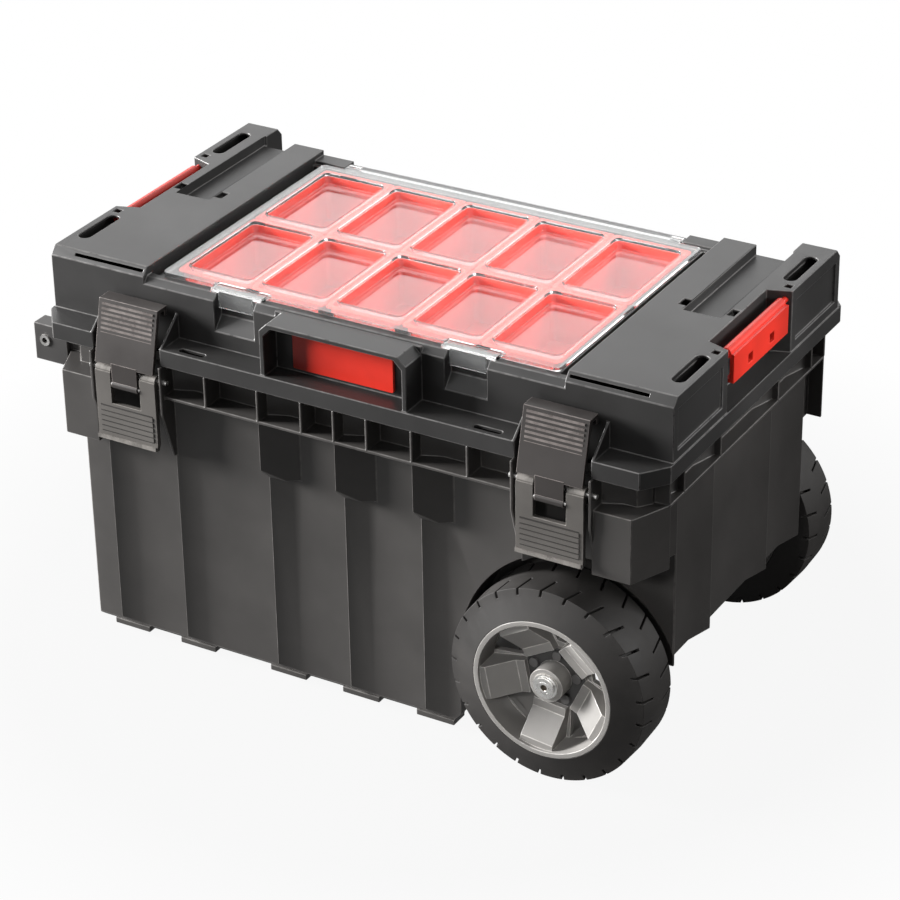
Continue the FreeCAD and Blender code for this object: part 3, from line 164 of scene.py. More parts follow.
class ChestStage(bpy.types.PropertyGroup):
    """Camera, lamps and floor."""
    lens: FloatProperty(name="Lens", description="Focal length of the camera", unit="CAMERA", default=127.1)
    azimuth: angle_prop("Azimuth", "Camera's turn to the right of the front", 30.44)
    elevation: angle_prop("Elevation", "Camera's angle above the floor", 28.56)
    roll: angle_prop("Roll", "Camera's tilt", -0.98)
    place: FloatVectorProperty(name="Place", description="Camera's place", subtype="TRANSLATION", size=3,
                               default=(1.34272, -2.27989, 1.62267))
    top_power: power_prop("Top lamp", "Power of the soft box overhead", 10)
    left_power: power_prop("Left lamp", "Power of the soft box at the left", 440)
    right_power: power_prop("Right lamp", "Power of the soft box at the right", 34)
    back_power: power_prop("Back lamp", "Power of the large soft box behind the chest", 13.5)
    wheel_power: power_prop("Wheel lamp", "Power of the gridded soft box on the front wheel", 0.09)
    wheel_spread: angle_prop("Wheel lamp's spread", "Beam of the soft box on the front wheel", 14)
    clip_power: power_prop("Clip lamp", "Power of the gridded soft box on the right red clip", 0.05)
    clip_spread: angle_prop("Clip lamp's spread", "Beam of the soft box on the right red clip", 8)
    ambient: FloatProperty(name="Ambient", description="Light from the room", default=0.03, min=0)


# Materials

# The span that most of a noise's values lie in, and how much the tone of a moulded plastic varies.
MIDDLE = (0.3, 0.7)
MOTTLE = 0.12
GRAIN_SCALE = 1500
GRAIN_DEPTH = 0.1 * MM


def mix_shaders(tree, share, first, second, into):
    """Joins a mix of two shaders into an output; the share is the second one's."""
    mix = tree.nodes.new("ShaderNodeMixShader")
    for socket, out in enumerate((share, first, second)):
        tree.links.new(out, mix.inputs[socket])
    tree.links.new(mix.outputs["Shader"], into)


class Shades:
    """A material's node tree, with short calls to add and join nodes."""

    def __init__(self, name):
        self.material = bpy.data.materials.new(name)
        self.material.use_nodes = True
        self.tree = self.material.node_tree
        self.shader = self.tree.nodes["Principled BSDF"]
        self.output = self.tree.nodes["Material Output"]
        self.place = self.tree.nodes.new("ShaderNodeTexCoord").outputs["Object"]

    def node(self, kind, **inputs):
        """A node with values for its inputs, whose names have _ for a space."""
        made = self.tree.nodes.new(kind)
        for name, value in inputs.items():
            made.inputs[name.replace("_", " ")].default_value = value
        return made

    def join(self, out, into):
        """Joins an output to an input."""
        self.tree.links.new(out, into)

    def noise(self, scale, detail=2.0, rough=0.5, stretch=None):
        """Noise over the piece, with a finer pattern along the axes that are stretched."""
        place = self.place
        if stretch:
            mapping = self.node("ShaderNodeMapping", Scale=stretch)
            self.join(place, mapping.inputs["Vector"])
            place = mapping.outputs["Vector"]
        made = self.node("ShaderNodeTexNoise", Scale=scale, Detail=detail, Roughness=rough)
        self.join(place, made.inputs["Vector"])
        return made.outputs["Fac"]

    def spread(self, value, span, low, high):
        """Goes from low to high as a value crosses a span."""
        made = self.node("ShaderNodeMapRange", From_Min=span[0], From_Max=span[1], To_Min=low, To_Max=high)
        self.join(value, made.inputs["Value"])
        return made.outputs["Result"]

    def tint(self, value, span, first, second):
        """Colours the piece, from the first colour to the second as a value crosses a span."""
        # The mix node has sockets of the same names for every kind, so the colours go by number.
        made = self.tree.nodes.new("ShaderNodeMix")
        made.data_type = "RGBA"
        made.inputs[6].default_value = (*first, 1)
        made.inputs[7].default_value = (*second, 1)
        self.join(self.spread(value, span, 0, 1), made.inputs["Factor"])
        self.join(made.outputs[2], self.shader.inputs["Base Color"])

    def roughen(self, value, span, low, high):
        """Sets the piece's roughness, from low to high as a value crosses a span."""
        self.join(self.spread(value, span, low, high), self.shader.inputs["Roughness"])

    def distance(self, point):
        """Distance from a point."""
        made = self.tree.nodes.new("ShaderNodeVectorMath")
        made.operation = "DISTANCE"
        made.inputs[1].default_value = point
        self.join(self.place, made.inputs[0])
        return made.outputs["Value"]

    def bump(self, height, strength, distance):
        """Roughens the surface by a height."""
        made = self.node("ShaderNodeBump", Strength=strength, Distance=distance)
        self.join(height, made.inputs["Height"])
        self.join(made.outputs["Normal"], self.shader.inputs["Normal"])

    def constant(self, **inputs):
        """Sets inputs of the shader that are the same all over the piece."""
        for name, value in inputs.items():
            self.shader.inputs[name.replace("_", " ")].default_value = value


def scaled(colour, factor):
    """A lighter or darker colour."""
    return tuple(min(1.0, c * factor) for c in colour)


def moulded_plastic(name, colour, rough, grain=0.25):
    """Plastic from a spark-eroded mould: a fine even grain, and patches that differ in tone and shine."""
    m = Shades(name)
    patches = m.noise(scale=14, detail=4, rough=0.6)
    m.tint(patches, MIDDLE, scaled(colour, 1 - MOTTLE), scaled(colour, 1 + MOTTLE))
    m.roughen(patches, MIDDLE, rough - 0.04, rough + 0.05)
    m.bump(m.noise(scale=GRAIN_SCALE), strength=grain, distance=GRAIN_DEPTH)
    return m.material


def highlit_edge(name, colour, rough, light=2.0):
    """The same plastic with a painted highlight along rounded edges: lighter, and a little less rough."""
    m = Shades(name)
    highlit = m.noise(scale=90, detail=3, rough=0.6)
    span = (0.35, 0.65)
    m.tint(highlit, span, scaled(colour, 0.7 * light), scaled(colour, 1.2 * light))
    m.roughen(highlit, span, rough - 0.05, rough + 0.05)
    return m.material


def bright_plastic(name, colour, shine=0.5):
    """Coloured plastic with a faint orange peel."""
    m = Shades(name)
    patches = m.noise(scale=30, detail=3)
    m.tint(patches, MIDDLE, scaled(colour, 0.92), scaled(colour, 1.06))
    m.roughen(patches, MIDDLE, 0.30, 0.38)
    m.constant(Specular_IOR_Level=shine)
    m.bump(m.noise(scale=500, detail=1), strength=0.08, distance=GRAIN_DEPTH)
    return m.material


def rubber(name, colour, rough=0.62):
    """Dull rubber with a fine grain and dusty patches."""
    m = Shades(name)
    dust = m.noise(scale=22, detail=5, rough=0.65)
    m.tint(dust, (0.4, 0.75), colour, scaled(colour, 1.6))
    m.roughen(dust, (0.35, 0.7), rough - 0.06, rough + 0.1)
    m.constant(Specular_IOR_Level=0.35)
    m.bump(m.noise(scale=900, detail=3), strength=0.3, distance=0.12 * MM)
    return m.material


def zinc_steel(name, colour):
    """Zinc-plated steel with streaks and fine scratches."""
    m = Shades(name)
    streaks = m.noise(scale=160, detail=3, rough=0.6, stretch=(1, 6, 1))
    m.tint(streaks, MIDDLE, scaled(colour, 0.85), scaled(colour, 1.1))
    m.roughen(streaks, MIDDLE, 0.22, 0.36)
    m.constant(Metallic=1.0)
    m.bump(m.noise(scale=700, stretch=(1, 8, 1)), strength=0.08, distance=0.05 * MM)
    return m.material


def clear_plastic(name, colour):
    """Clear plastic that lets the lamps through, with faint ripples."""
    m = Shades(name)
    m.tint(m.noise(scale=20), MIDDLE, scaled(colour, 0.98), colour)
    m.constant(Transmission_Weight=0.98, IOR=1.46, Roughness=0.03)
    m.bump(m.noise(scale=60, detail=1), strength=0.02, distance=GRAIN_DEPTH)
    lets_through = m.node("ShaderNodeBsdfTransparent", Color=(*scaled(colour, 0.98), 1))
    rays = m.tree.nodes.new("ShaderNodeLightPath")
    mix_shaders(m.tree, rays.outputs["Is Shadow Ray"], m.shader.outputs["BSDF"], lets_through.outputs["BSDF"],
                m.output.inputs["Surface"])
    return m.material


# Materials that are made already, by the name of their finish.
FINISHES = {}


def finish(name):
    """The material of a finish, made the first time it is asked for."""
    if name not in FINISHES:
        c = bpy.context.scene.chest_colours
        FINISHES[name] = {
            # The _edge finishes paint a highlight on rounded edges; their last number is how much lighter it
            # is.
            "tub": lambda: moulded_plastic("tub_moulded", c.tub, 0.42),
            "tub_edge": lambda: highlit_edge("tub_edge", c.tub, 0.34, 2.2),
            "lid": lambda: moulded_plastic("lid_moulded", c.lid, 0.40),
            "lid_edge": lambda: highlit_edge("lid_edge", c.lid, 0.32, 4.5),
            "hook": lambda: moulded_plastic("hook_satin", c.hook, 0.38, grain=0.12),
            "hook_edge": lambda: highlit_edge("hook_edge", c.hook, 0.30, 5.0),
            "lever": lambda: moulded_plastic("lever_satin", c.lever, 0.38, grain=0.12),
            "lever_edge": lambda: highlit_edge("lever_edge", c.lever, 0.30),
            "handle": lambda: moulded_plastic("handle_moulded", c.handle, 0.45),
            "handle_edge": lambda: highlit_edge("handle_edge", c.handle, 0.34, 4.0),
            "wheel": lambda: moulded_plastic("wheel_satin", c.wheel, 0.44, grain=0.10),
            "wheel_edge": lambda: highlit_edge("wheel_edge", c.wheel, 0.30),
            "hub": lambda: moulded_plastic("hub_plastic", c.hub, 0.40, grain=0.10),
            "bore": lambda: moulded_plastic("axle_bore", c.bore, 0.50),
            "nut": lambda: moulded_plastic("nut_plastic", scaled(c.hub, 2.2), 0.36, grain=0.10),
            "red": lambda: bright_plastic("red_gloss", c.red),
            "cup": lambda: bright_plastic("cup_satin", c.cup, 0.1),
            "clear": lambda: clear_plastic("cover_clear", c.clear),
            "tyre": lambda: rubber("tyre_rubber", c.tyre),
            "grip": lambda: rubber("grip_rubber", c.grip, 0.70),
            "steel": lambda: zinc_steel("zinc_steel", c.steel),
        }[name]()
    return FINISHES[name]


# Shapes

def new_piece(name, mesh):
    """A mesh as an object of the scene."""
    piece = bpy.data.objects.new(name, mesh)
    bpy.context.scene.collection.objects.link(piece)
    return piece


def settle(piece):
    """Turns a piece's modifiers into a plain mesh."""
    view = bpy.context.evaluated_depsgraph_get()
    mesh = bpy.data.meshes.new_from_object(piece.evaluated_get(view))
    mesh.name = piece.name
    piece.modifiers.clear()
    piece.data = mesh
    return piece


def node_copy(node, name):
    """A merged copy of a CAD node, with its flat faces joined up."""
    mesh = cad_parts[node].data.copy()
    mesh.name = name
    mesh.materials.clear()
    shape = bmesh.new()
    shape.from_mesh(mesh)
    bmesh.ops.remove_doubles(shape, verts=shape.verts, dist=MERGE)
    bmesh.ops.dissolve_limit(shape, angle_limit=FLAT, verts=shape.verts, edges=shape.edges)
    bmesh.ops.connect_verts_concave(shape, faces=[f for f in shape.faces if len(f.verts) > 4])
    for face in shape.faces:
        face.material_index = 0
        face.smooth = True
    shape.to_mesh(mesh)
    shape.free()
    return new_piece(name, mesh)


def turn_at(corner, edge, other):
    """Angle by which a line along one edge turns into another at their shared corner."""
    first = corner.co - edge.other_vert(corner).co
    second = other.other_vert(corner).co - corner.co
    return first.angle(second, math.pi)


def room_beside(edge, sharp):
    """How far an edge can be rounded before it meets the next edge of one of its faces."""
    room = math.inf
    for loop in edge.link_loops:
        for corner, other in ((loop.vert, loop.link_loop_prev.edge),
                              (loop.link_loop_next.vert, loop.link_loop_next.edge)):
            turn = turn_at(corner, edge, other)
            if turn > BEND:
                share = SHARED_ROOM if other.other_vert(corner).index in sharp else OWN_ROOM
                room = min(room, share * other.calc_length() * max(math.sin(turn), LEAST_SINE))
            elif turn > STRAIGHT:
                room = min(room, OWN_ROOM * edge.calc_length() / turn)
    return room


def edge_widths(shape, width):
    """Rounding of each sharp edge, as a share of the width: the same along a smooth line of edges."""
    lines = {e.index: e for e in shape.edges if len(e.link_faces) == 2 and e.calc_face_angle(0) > SHARP}
    sharp = {v.index for e in lines.values() for v in e.verts}
    group = {i: i for i in lines}

    def root(i):
        while group[i] != i:
            i = group[i]
        return i

    for corner in shape.verts:
        here = [e for e in corner.link_edges if e.index in lines]
        if len(here) == 2 and turn_at(corner, *here) < BEND:
            group[root(here[0].index)] = root(here[1].index)
    room = {}
    for i, e in lines.items():
        room[root(i)] = min(room.get(root(i), width), room_beside(e, sharp))
    return {i: room[root(i)] / width for i in lines if room[root(i)] > LEAST_ROUNDING * width}


def soften(piece, width):
    """Rounds a piece's sharp edges as far as they have room; the rounded faces take its second material, a
    painted highlight where that is an _edge finish.
    """
    shape = bmesh.new()
    shape.from_mesh(piece.data)
    shape.verts.ensure_lookup_table()
    weights = edge_widths(shape, width)
    layer = shape.edges.layers.float.new("bevel_weight_edge")
    for e in shape.edges:
        e[layer] = weights.get(e.index, 0)
    shape.to_mesh(piece.data)
    shape.free()
    bevel = piece.modifiers.new("edges", "BEVEL")
    bevel.width = width
    bevel.segments = ROUNDING_STEPS
    bevel.limit_method = "WEIGHT"
    bevel.use_clamp_overlap = False
    bevel.loop_slide = False
    bevel.material = 1 if len(piece.data.materials) > 1 else -1
    piece.modifiers.new("normals", "WEIGHTED_NORMAL").keep_sharp = True
    return settle(piece)


def dress(piece, *finishes):
    """Gives a piece its materials, in the order of their slots."""
    piece.data.materials.clear()
    for name in finishes:
        piece.data.materials.append(finish(name))
    return piece


def moulded(node, width, finishes, body):
    """A CAD node's piece with softened edges, standing in for the node."""
    piece = node_copy(node, node + "_piece")
    dress(piece, *finishes)
    soften(piece, width)
    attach(piece, body)
    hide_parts(node)
    return piece


def carried(node, finish_name):
    """A CAD node that stays as it is, in a better material."""
    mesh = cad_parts[node].data
    mesh.materials.clear()
    mesh.materials.append(finish(finish_name))


class Growth:
    """A Geometry Nodes tree with named inputs, grown once into a plain mesh: a row of like items."""

    def __init__(self, name, **inputs):
        self.tree = bpy.data.node_groups.new(name, "GeometryNodeTree")
        self.values = inputs
        for label, value in inputs.items():
            kind = {int: "NodeSocketInt", float: "NodeSocketFloat"}.get(type(value), "NodeSocketVector")
            kind = "NodeSocketMaterial" if isinstance(value, bpy.types.Material) else kind
            self.tree.interface.new_socket(label, in_out="INPUT", socket_type=kind)
        self.tree.interface.new_socket("Geometry", in_out="OUTPUT", socket_type="NodeSocketGeometry")
        self.inputs = self.tree.nodes.new("NodeGroupInput")
        self.output = self.tree.nodes.new("NodeGroupOutput")

    def node(self, kind, settings=None, **sockets):
        """A node; a socket takes a number, an output to join, or the name of an input of the tree."""
        made = self.tree.nodes.new(kind)
        for name, value in (settings or {}).items():
            setattr(made, name, value)
        for name, value in sockets.items():
            into = made.inputs[name.replace("_", " ")]
            if isinstance(value, str):
                self.tree.links.new(self.inputs.outputs[value], into)
            elif isinstance(value, bpy.types.NodeSocket):
                self.tree.links.new(value, into)
            else:
                into.default_value = value
        return made.outputs[0]

    def grow(self, name, item, body):
        """Sets an item on each point of a row and grows the mesh, as a piece that rides on a body."""
        line = self.node("GeometryNodeMeshLine", {"mode": "END_POINTS"}, Count="Count",
                         Start_Location="First", Offset="Last")
        row = self.node("GeometryNodeInstanceOnPoints", Points=line, Instance=item)
        solid = self.node("GeometryNodeRealizeInstances", Geometry=row)
        flat = self.node("GeometryNodeSetShadeSmooth", Geometry=solid, Shade_Smooth=False)
        painted = self.node("GeometryNodeSetMaterial", Geometry=flat, Material="Material")
        self.tree.links.new(painted, self.output.inputs[0])
        seed = new_piece(name, bpy.data.meshes.new(name))
        modifier = seed.modifiers.new("growth", "NODES")
        modifier.node_group = self.tree
        for socket in self.tree.interface.items_tree:
            if socket.in_out == "INPUT":
                modifier[socket.identifier] = self.values[socket.name]
        settle(seed)
        if not seed.data.polygons:
            raise RuntimeError(name + " grew no faces")
        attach(seed, body)
        return seed


def ridge_row(name, first, last, count, bar, lean, material, body):
    """A row of finger ridges that lie along X on a face that leans back."""
    g = Growth(name + "_tree", Count=int(count), First=Vector(first), Last=Vector(last), Bar=Vector(bar),
               Lean=Vector((-lean, 0, 0)), Material=material)
    ridge = g.node("GeometryNodeMeshCube", Size="Bar")
    ridge = g.node("GeometryNodeTransform", Geometry=ridge, Rotation="Lean")
    return g.grow(name, ridge, body)


def ring_row(name, first, last, count, radius, thickness, material, body):
    """A row of rings round a bar that lies along Y."""
    g = Growth(name + "_tree", Count=int(count), First=Vector(first), Last=Vector(last), Radius=float(radius),
               Thickness=float(thickness), Material=material)
    round_bar = g.node("GeometryNodeCurvePrimitiveCircle", Resolution=RING_CORNERS, Radius="Radius")
    section = g.node("GeometryNodeCurvePrimitiveCircle", Resolution=SECTION_CORNERS, Radius="Thickness")
    ring = g.node("GeometryNodeCurveToMesh", Curve=round_bar, Profile_Curve=section)
    ring = g.node("GeometryNodeTransform", Geometry=ring, Rotation=(math.pi / 2, 0, 0))
    return g.grow(name, ring, body)


# Operators

class CHEST_OT_tub(bpy.types.Operator):
    """Mould the tub with its handle lugs"""
    bl_idname = "chest.tub"
    bl_label = "Tub"

    def execute(self, context):
        sizes = context.scene.chest_sizes
        moulded("tub_shell", sizes.edge, ("tub", "tub_edge"), "tub")
        for side in SIDES:
            moulded("handle_bracket_" + side, sizes.edge, ("handle", "handle_edge"), "tub")
        return {"FINISHED"}


class CHEST_OT_lid(bpy.types.Operator):
    """Mould the lid"""
    bl_idname = "chest.lid"
    bl_label = "Lid"

    def execute(self, context):
        sizes = context.scene.chest_sizes
        moulded("lid_shell", sizes.edge, ("lid", "lid_edge"), "lid")
        moulded("badge_plate", sizes.fine_edge, ("red", "red"), "lid")
        return {"FINISHED"}


def corners_of(node):
    """Corners of a node's mesh, lowest first."""
    return sorted((Vector(v.co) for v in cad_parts[node].data.vertices), key=lambda c: c.z)


def ridge_hook(end, sizes):
    """Finger ridges down from the top edge of a hook plate, in the hook's edge finish, a painted highlight.
    """
    node = "latch_hook_" + end
    low, high = (Vector(c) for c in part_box(node))
    corners = corners_of(node)
    top = min((c for c in corners if c.z > high.z - NEAR), key=lambda c: c.y)
    foot = max((c for c in corners if c.y < low.y + NEAR), key=lambda c: c.z)
    down = Vector((0, foot.y - top.y, foot.z - top.z)).normalized()
    middle = Vector(((low.x + high.x) / 2, top.y, top.z))
    first = middle + down * sizes.hook_ridge_pitch
    last = first + down * sizes.hook_ridge_pitch * (sizes.hook_ridges - 1)
    bar = (high.x - low.x - 2 * sizes.ridge_margin, 2 * sizes.hook_ridge_h, sizes.hook_ridge_w)
    ridge_row("hook_ridges_" + end, first, last, sizes.hook_ridges, bar, math.atan2(-down.y, -down.z),
              finish("hook_edge"), "hook_" + end)


def ridge_lever(end, sizes):
    """A lip along the foot of a lever in its edge finish, a painted highlight, and above it flat ridges on a
    thin dark sheet in the tyres' rubber, which paints the shade between the ridges.
    """
    node = "latch_lever_" + end
    low, high = (Vector(c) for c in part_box(node))
    middle_x = (low.x + high.x) / 2
    lip = Vector((middle_x, low.y, low.z + sizes.lever_lip_w / 2 + sizes.lever_lip_h))
    bar = (high.x - low.x - 2 * sizes.lever_lip_h, 2 * sizes.lever_lip_h, sizes.lever_lip_w)
    ridge_row("lever_lip_" + end, lip, lip, 1, bar, 0, finish("lever_edge"), "lever_" + end)
    face_y = min(c.y for c in corners_of(node) if c.z > low.z + sizes.lever_foot / 2)
    first = Vector((middle_x, face_y, low.z + sizes.lever_foot))
    last = first + Vector((0, 0, sizes.lever_ridge_pitch * (sizes.lever_ridges - 1)))
    width = high.x - low.x - 2 * sizes.ridge_margin
    gap = sizes.lever_ridge_pitch - sizes.lever_ridge_w
    middle = (first + last) / 2
    bar = (width, 2 * sizes.lever_shade_sheet_h, sizes.lever_ridges * sizes.lever_ridge_pitch + gap)
    # A dark sheet under the ridges paints the shade between them.
    ridge_row("lever_grooves_" + end, middle, middle, 1, bar, 0, finish("tyre"),
              "lever_" + end)
    bar = (width, 2 * sizes.lever_ridge_h, sizes.lever_ridge_w)
    ridge_row("lever_ridges_" + end, first, last, sizes.lever_ridges, bar, 0, finish("lever"),
              "lever_" + end)


def highlight_caps(lever, height):
    """The caps over a lever's pin take its second material, a painted highlight, where they face up and
    forward.
    """
    top = max(v.co.z for v in lever.data.vertices)
    for face in lever.data.polygons:
        if face.center.z > top - height and face.normal.z > LEANING and face.normal.y < 0:
            face.material_index = 1


class CHEST_OT_latches(bpy.types.Operator):
    """Mould the latch levers and hook plates with their finger ridges"""
    bl_idname = "chest.latches"
    bl_label = "Latches"

    def execute(self, context):
        sizes = context.scene.chest_sizes
        for end in ENDS:
            lever = moulded("latch_lever_" + end, sizes.fine_edge, ("lever", "lever_edge"), "lever_" + end)
            highlight_caps(lever, sizes.lever_cap)
            moulded("latch_hook_" + end, sizes.fine_edge, ("hook", "hook_edge"), "hook_" + end)
            ridge_lever(end, sizes)
            ridge_hook(end, sizes)
        return {"FINISHED"}


class CHEST_OT_cups(bpy.types.Operator):
    """Mould the ten cups"""
    bl_idname = "chest.cups"
    bl_label = "Cups"

    def execute(self, context):
        sizes = context.scene.chest_sizes
        for side in SIDES:
            for number in range(1, CUPS_IN_ROW + 1):
                moulded("cup_%s_%d" % (side, number), sizes.fine_edge, ("cup", "cup"), "lid")
        return {"FINISHED"}


class CHEST_OT_cover(bpy.types.Operator):
    """Mould the clear cover and its clips"""
    bl_idname = "chest.cover"
    bl_label = "Clear cover"

    def execute(self, context):
        sizes = context.scene.chest_sizes
        moulded("clear_cover", sizes.fine_edge, ("clear", "clear"), "cover")
        for end in ENDS:
            moulded("cover_clip_" + end, sizes.fine_edge, ("clear", "clear"), "cover_clip_%s_body" % end)
        return {"FINISHED"}


class CHEST_OT_stacking_clips(bpy.types.Operator):
    """Mould the red stacking clips"""
    bl_idname = "chest.stacking_clips"
    bl_label = "Stacking clips"

    def execute(self, context):
        sizes = context.scene.chest_sizes
        for end in ENDS:
            moulded("stack_clip_" + end, sizes.fine_edge, ("red", "red"), "stack_clip_%s_body" % end)
        return {"FINISHED"}


def darken_hub(piece, side):
    """The flat plate under the nuts takes the piece's third material."""
    low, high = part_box("lug_nuts_" + side)
    plate_y = min(low[1], high[1], key=abs)
    for face in piece.data.polygons:
        if abs(face.center.y - plate_y) < PLATE_NEAR and abs(face.normal.y) > SQUARE:
            face.material_index = 2


class CHEST_OT_wheels(bpy.types.Operator):
    """Mould the tyres with their tread, and finish the rims, bearings and nuts"""
    bl_idname = "chest.wheels"
    bl_label = "Wheels"

    def execute(self, context):
        sizes = context.scene.chest_sizes
        for side in SIDES:
            body = "wheel_" + side
            moulded("tyre_" + side, sizes.fine_edge, ("tyre", "tyre"), body)
            rim = moulded("wheel_rim_" + side, sizes.fine_edge, ("wheel", "wheel_edge", "hub"), body)
            darken_hub(rim, side)
            moulded("lug_nuts_" + side, sizes.fine_edge, ("nut", "nut"), body)
            carried("outer_bearing_" + side, "steel")
            carried("inner_bearing_" + side, "steel")
        return {"FINISHED"}


class CHEST_OT_handle(bpy.types.Operator):
    """Finish the pull handle"""
    bl_idname = "chest.handle"
    bl_label = "Pull handle"

    def execute(self, context):
        sizes = context.scene.chest_sizes
        for side in SIDES:
            moulded("handle_arm_" + side, sizes.edge, ("handle", "handle_edge"), "handle")
        for node in ("handle_core", "handle_spacer"):
            carried(node, "handle")
        carried("handle_grip", "grip")
        low, high = (Vector(c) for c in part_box("handle_grip"))
        middle = (low + high) / 2
        reach = Vector((0, (high.y - low.y) / 2 - sizes.grip_margin, 0))
        ring_row("handle_grip_rings", middle - reach, middle + reach, sizes.grip_rings, (high.x - low.x) / 2,
                 sizes.grip_ring_r, finish("grip"), "handle")
        return {"FINISHED"}


def darken_bores(rod, margin):
    """The walls and floors of the bores in a rod along Y take its third material, a painted shade inside
    them.
    """
    corners = [Vector(v.co) for v in rod.data.vertices]
    middle = sum(corners, Vector()) / len(corners)
    reach = max(c.y for c in corners)
    for face in rod.data.polygons:
        outward = Vector((face.center.x - middle.x, 0, face.center.z - middle.z)).dot(face.normal)
        floor = abs(face.normal.y) > SQUARE and abs(face.center.y) < reach - margin
        if floor or outward < 0 and abs(face.normal.y) < ALONG:
            face.material_index = 2


class CHEST_OT_hardware(bpy.types.Operator):
    """Plate the pins, rods and the axle"""
    bl_idname = "chest.hardware"
    bl_label = "Hardware"

    def execute(self, context):
        sizes = context.scene.chest_sizes
        axle = moulded("axle", sizes.fine_edge, ("steel", "steel", "bore"), "tub")
        darken_bores(axle, sizes.fine_edge)
        for node in ("lid_hinge_rod", "axle_retainer_front", "axle_retainer_rear", "handle_axle",
                     "latch_pin_left", "latch_pin_right", "hook_pin_left", "hook_pin_right",
                     "cover_pin_left", "cover_pin_right"):
            carried(node, "steel")
        return {"FINISHED"}


# Stage, in metres

FLOOR_HALF = 6.0

# The floor has a painted pool of light at the front left, which the chest's front mirrors. The pool fades
# from the first radius of its edge to the second, and so does its share of white in reflections.
POOL = (-0.25, -0.30, 0)
POOL_EDGE = (0.30, 0.75)
POOL_MIRRORED = (0.32, 0.03)
POOL_GREY = (0.20, 0.20, 0.20)
FLOOR_GREY = (0.06, 0.06, 0.06)

# Share of plain white in the floor, near the chest and beyond its shadow, which fades over this edge.
SHADOW_EDGE = (0.42, 0.72)
SHADOW_WHITE = (0.92, 1.0)

# Soft boxes: place, target, width and height.
SOFT_BOXES = {
    "top": ((0.1, 0.3, 2.2), (0, 0, 0.3), 2.0, 1.6),
    "left": ((-3.4, -1.3, 1.2), (0, 0, 0.2), 1.2, 1.2),
    "right": ((2.4, 1.3, 1.3), (0, 0, 0.3), 1.0, 1.0),
    "back": ((-1.3, 2.2, 1.6), (0, 0, 0.3), 2.4, 1.8),
}

# Gridded soft boxes: the node that each lights, the way from its middle to the lamp, and the lamp's size.
GRIDDED_BOXES = {
    "wheel": ("tyre_front", (0.1, -1.5, 0.9), 0.2),
    "clip": ("stack_clip_right", (1.5, -0.3, 0.5), 0.1),
}

# Width of the sensor that the camera's focal length goes with, in millimetres.
SENSOR = 36


def combine(tree, operation, first, second):
    """The result of a maths operation on two outputs."""
    made = tree.nodes.new("ShaderNodeMath")
    made.operation = operation
    tree.links.new(first, made.inputs[0])
    tree.links.new(second, made.inputs[1])
    return made.outputs["Value"]


def background_share(tree, mirrored=None):
    """A value of 1 for rays that see the plain background; mirrored is its share in reflections."""
    rays = tree.nodes.new("ShaderNodeLightPath")
    glossy = rays.outputs["Is Glossy Ray"]
    if mirrored:
        glossy = combine(tree, "MULTIPLY", glossy, mirrored)
    seen = combine(tree, "MAXIMUM", rays.outputs["Is Camera Ray"], rays.outputs["Is Transmission Ray"])
    return combine(tree, "MAXIMUM", seen, glossy)


def lay_floor():
    """A pale floor that reads as white and keeps the chest's soft shadow, with a painted pool of light for
    the chest's front to mirror.
    """
    mesh = bpy.data.meshes.new("floor")
    corners = [(-FLOOR_HALF, -FLOOR_HALF, 0), (FLOOR_HALF, -FLOOR_HALF, 0),
               (FLOOR_HALF, FLOOR_HALF, 0), (-FLOOR_HALF, FLOOR_HALF, 0)]
    mesh.from_pydata(corners, [], [(0, 1, 2, 3)])
    floor = new_piece("floor", mesh)
    m = Shades("pale_floor")
    away = m.distance((0, 0, 0))
    pool = m.distance(POOL)
    m.tint(pool, POOL_EDGE, POOL_GREY, FLOOR_GREY)
    m.constant(Roughness=0.9, Specular_IOR_Level=0.0)
    white = m.node("ShaderNodeEmission", Color=WHITE, Strength=1.0)
    seen = background_share(m.tree, m.spread(pool, POOL_EDGE, *POOL_MIRRORED))
    share = combine(m.tree, "MULTIPLY", seen, m.spread(away, SHADOW_EDGE, *SHADOW_WHITE))
    mix_shaders(m.tree, share, m.shader.outputs["BSDF"], white.outputs["Emission"],
                m.output.inputs["Surface"])
    mesh.materials.append(m.material)


def node_middle(node):
    """The middle of a node's box."""
    low, high = (Vector(c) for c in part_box(node))
    return (low + high) / 2


def soft_box(name, place, target, width, height, power, spread=math.pi):
    """A soft box at a place, turned to its target; a grid in front of it narrows its spread."""
    lamp = bpy.data.lights.new(name, "AREA")
    lamp.shape = "RECTANGLE"
    lamp.size = width
    lamp.size_y = height
    lamp.energy = power
    lamp.spread = spread
    box = bpy.data.objects.new(name, lamp)
    box.location = place
    box.rotation_euler = (Vector(target) - Vector(place)).to_track_quat("-Z", "Y").to_euler()
    bpy.context.scene.collection.objects.link(box)


def light_room(ambient):
    """Even room light, seen as white behind the chest."""
    world = bpy.data.worlds.new("room")
    world.use_nodes = True
    tree = world.node_tree
    soft = tree.nodes["Background"]
    soft.inputs["Color"].default_value = WHITE
    soft.inputs["Strength"].default_value = ambient
    white = tree.nodes.new("ShaderNodeBackground")
    white.inputs["Color"].default_value = WHITE
    white.inputs["Strength"].default_value = 1.0
    mix_shaders(tree, background_share(tree), soft.outputs["Background"], white.outputs["Background"],
                tree.nodes["World Output"].inputs["Surface"])
    bpy.context.scene.world = world


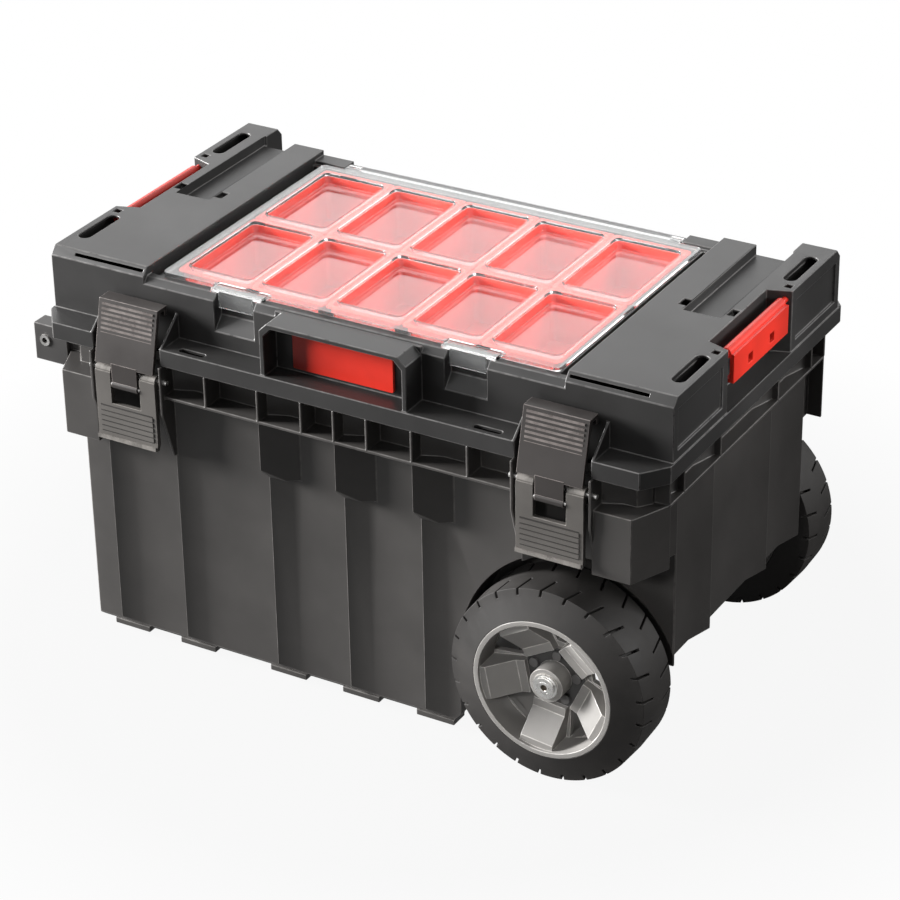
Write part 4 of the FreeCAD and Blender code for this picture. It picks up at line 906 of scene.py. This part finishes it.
def set_camera(stage):
    """The photograph's viewing angle."""
    az, el, roll = stage.azimuth, stage.elevation, stage.roll
    back = Vector((math.sin(az) * math.cos(el), -math.cos(az) * math.cos(el), math.sin(el)))
    level = Vector((math.cos(az), math.sin(az), 0))
    upright = back.cross(level)
    right = math.cos(roll) * level + math.sin(roll) * upright
    up = -math.sin(roll) * level + math.cos(roll) * upright
    data = bpy.data.cameras.new("camera")
    data.lens = stage.lens
    data.sensor_width = SENSOR
    camera = bpy.data.objects.new("camera", data)
    turn = Matrix((right, up, back)).transposed().to_4x4()
    camera.matrix_world = Matrix.Translation(Vector(stage.place)) @ turn
    bpy.context.scene.collection.objects.link(camera)
    bpy.context.scene.camera = camera


class CHEST_OT_stage(bpy.types.Operator):
    """Set up the floor, the lamps, the room and the camera"""
    bl_idname = "chest.stage"
    bl_label = "Stage"

    def execute(self, context):
        stage = context.scene.chest_stage
        lay_floor()
        for name, (place, target, width, height) in SOFT_BOXES.items():
            soft_box(name + "_soft_box", place, target, width, height, getattr(stage, name + "_power"))
        for name, (node, away, size) in GRIDDED_BOXES.items():
            middle = node_middle(node)
            soft_box(name + "_soft_box", middle + Vector(away), middle, size, size,
                     getattr(stage, name + "_power"), getattr(stage, name + "_spread"))
        light_room(stage.ambient)
        set_camera(stage)
        context.scene.view_settings.view_transform = "Standard"
        return {"FINISHED"}


class CHEST_PT_sidebar(bpy.types.Panel):
    """The chest's colours, sizes and stage, and its pieces in the order they are made"""
    bl_idname = "CHEST_PT_sidebar"
    bl_label = "Wheeled chest"
    bl_space_type = "VIEW_3D"
    bl_region_type = "UI"
    bl_category = "Chest"

    def draw(self, context):
        for group in (context.scene.chest_colours, context.scene.chest_sizes, context.scene.chest_stage):
            box = self.layout.box()
            for name in group.__annotations__:
                box.prop(group, name)
        for operator in OPERATORS:
            self.layout.operator(operator.bl_idname)


GROUPS = {"chest_colours": ChestColours, "chest_sizes": ChestSizes, "chest_stage": ChestStage}
OPERATORS = (CHEST_OT_tub, CHEST_OT_lid, CHEST_OT_latches, CHEST_OT_cups, CHEST_OT_cover,
             CHEST_OT_stacking_clips, CHEST_OT_wheels, CHEST_OT_handle, CHEST_OT_hardware, CHEST_OT_stage)


def register():
    """Adds the groups, the operators and the panel to Blender."""
    for name, group in GROUPS.items():
        bpy.utils.register_class(group)
        setattr(bpy.types.Scene, name, PointerProperty(type=group))
    for operator in OPERATORS:
        bpy.utils.register_class(operator)
    bpy.utils.register_class(CHEST_PT_sidebar)


def unregister():
    """Takes the panel, the operators and the groups away again."""
    bpy.utils.unregister_class(CHEST_PT_sidebar)
    for operator in reversed(OPERATORS):
        bpy.utils.unregister_class(operator)
    for name, group in GROUPS.items():
        delattr(bpy.types.Scene, name)
        bpy.utils.unregister_class(group)


def main():
    """Makes the pieces and the stage in order."""
    register()
    bpy.ops.chest.tub()
    bpy.ops.chest.lid()
    bpy.ops.chest.latches()
    bpy.ops.chest.cups()
    bpy.ops.chest.cover()
    bpy.ops.chest.stacking_clips()
    bpy.ops.chest.wheels()
    bpy.ops.chest.handle()
    bpy.ops.chest.hardware()
    bpy.ops.chest.stage()


if __name__ == "__main__":
    main()
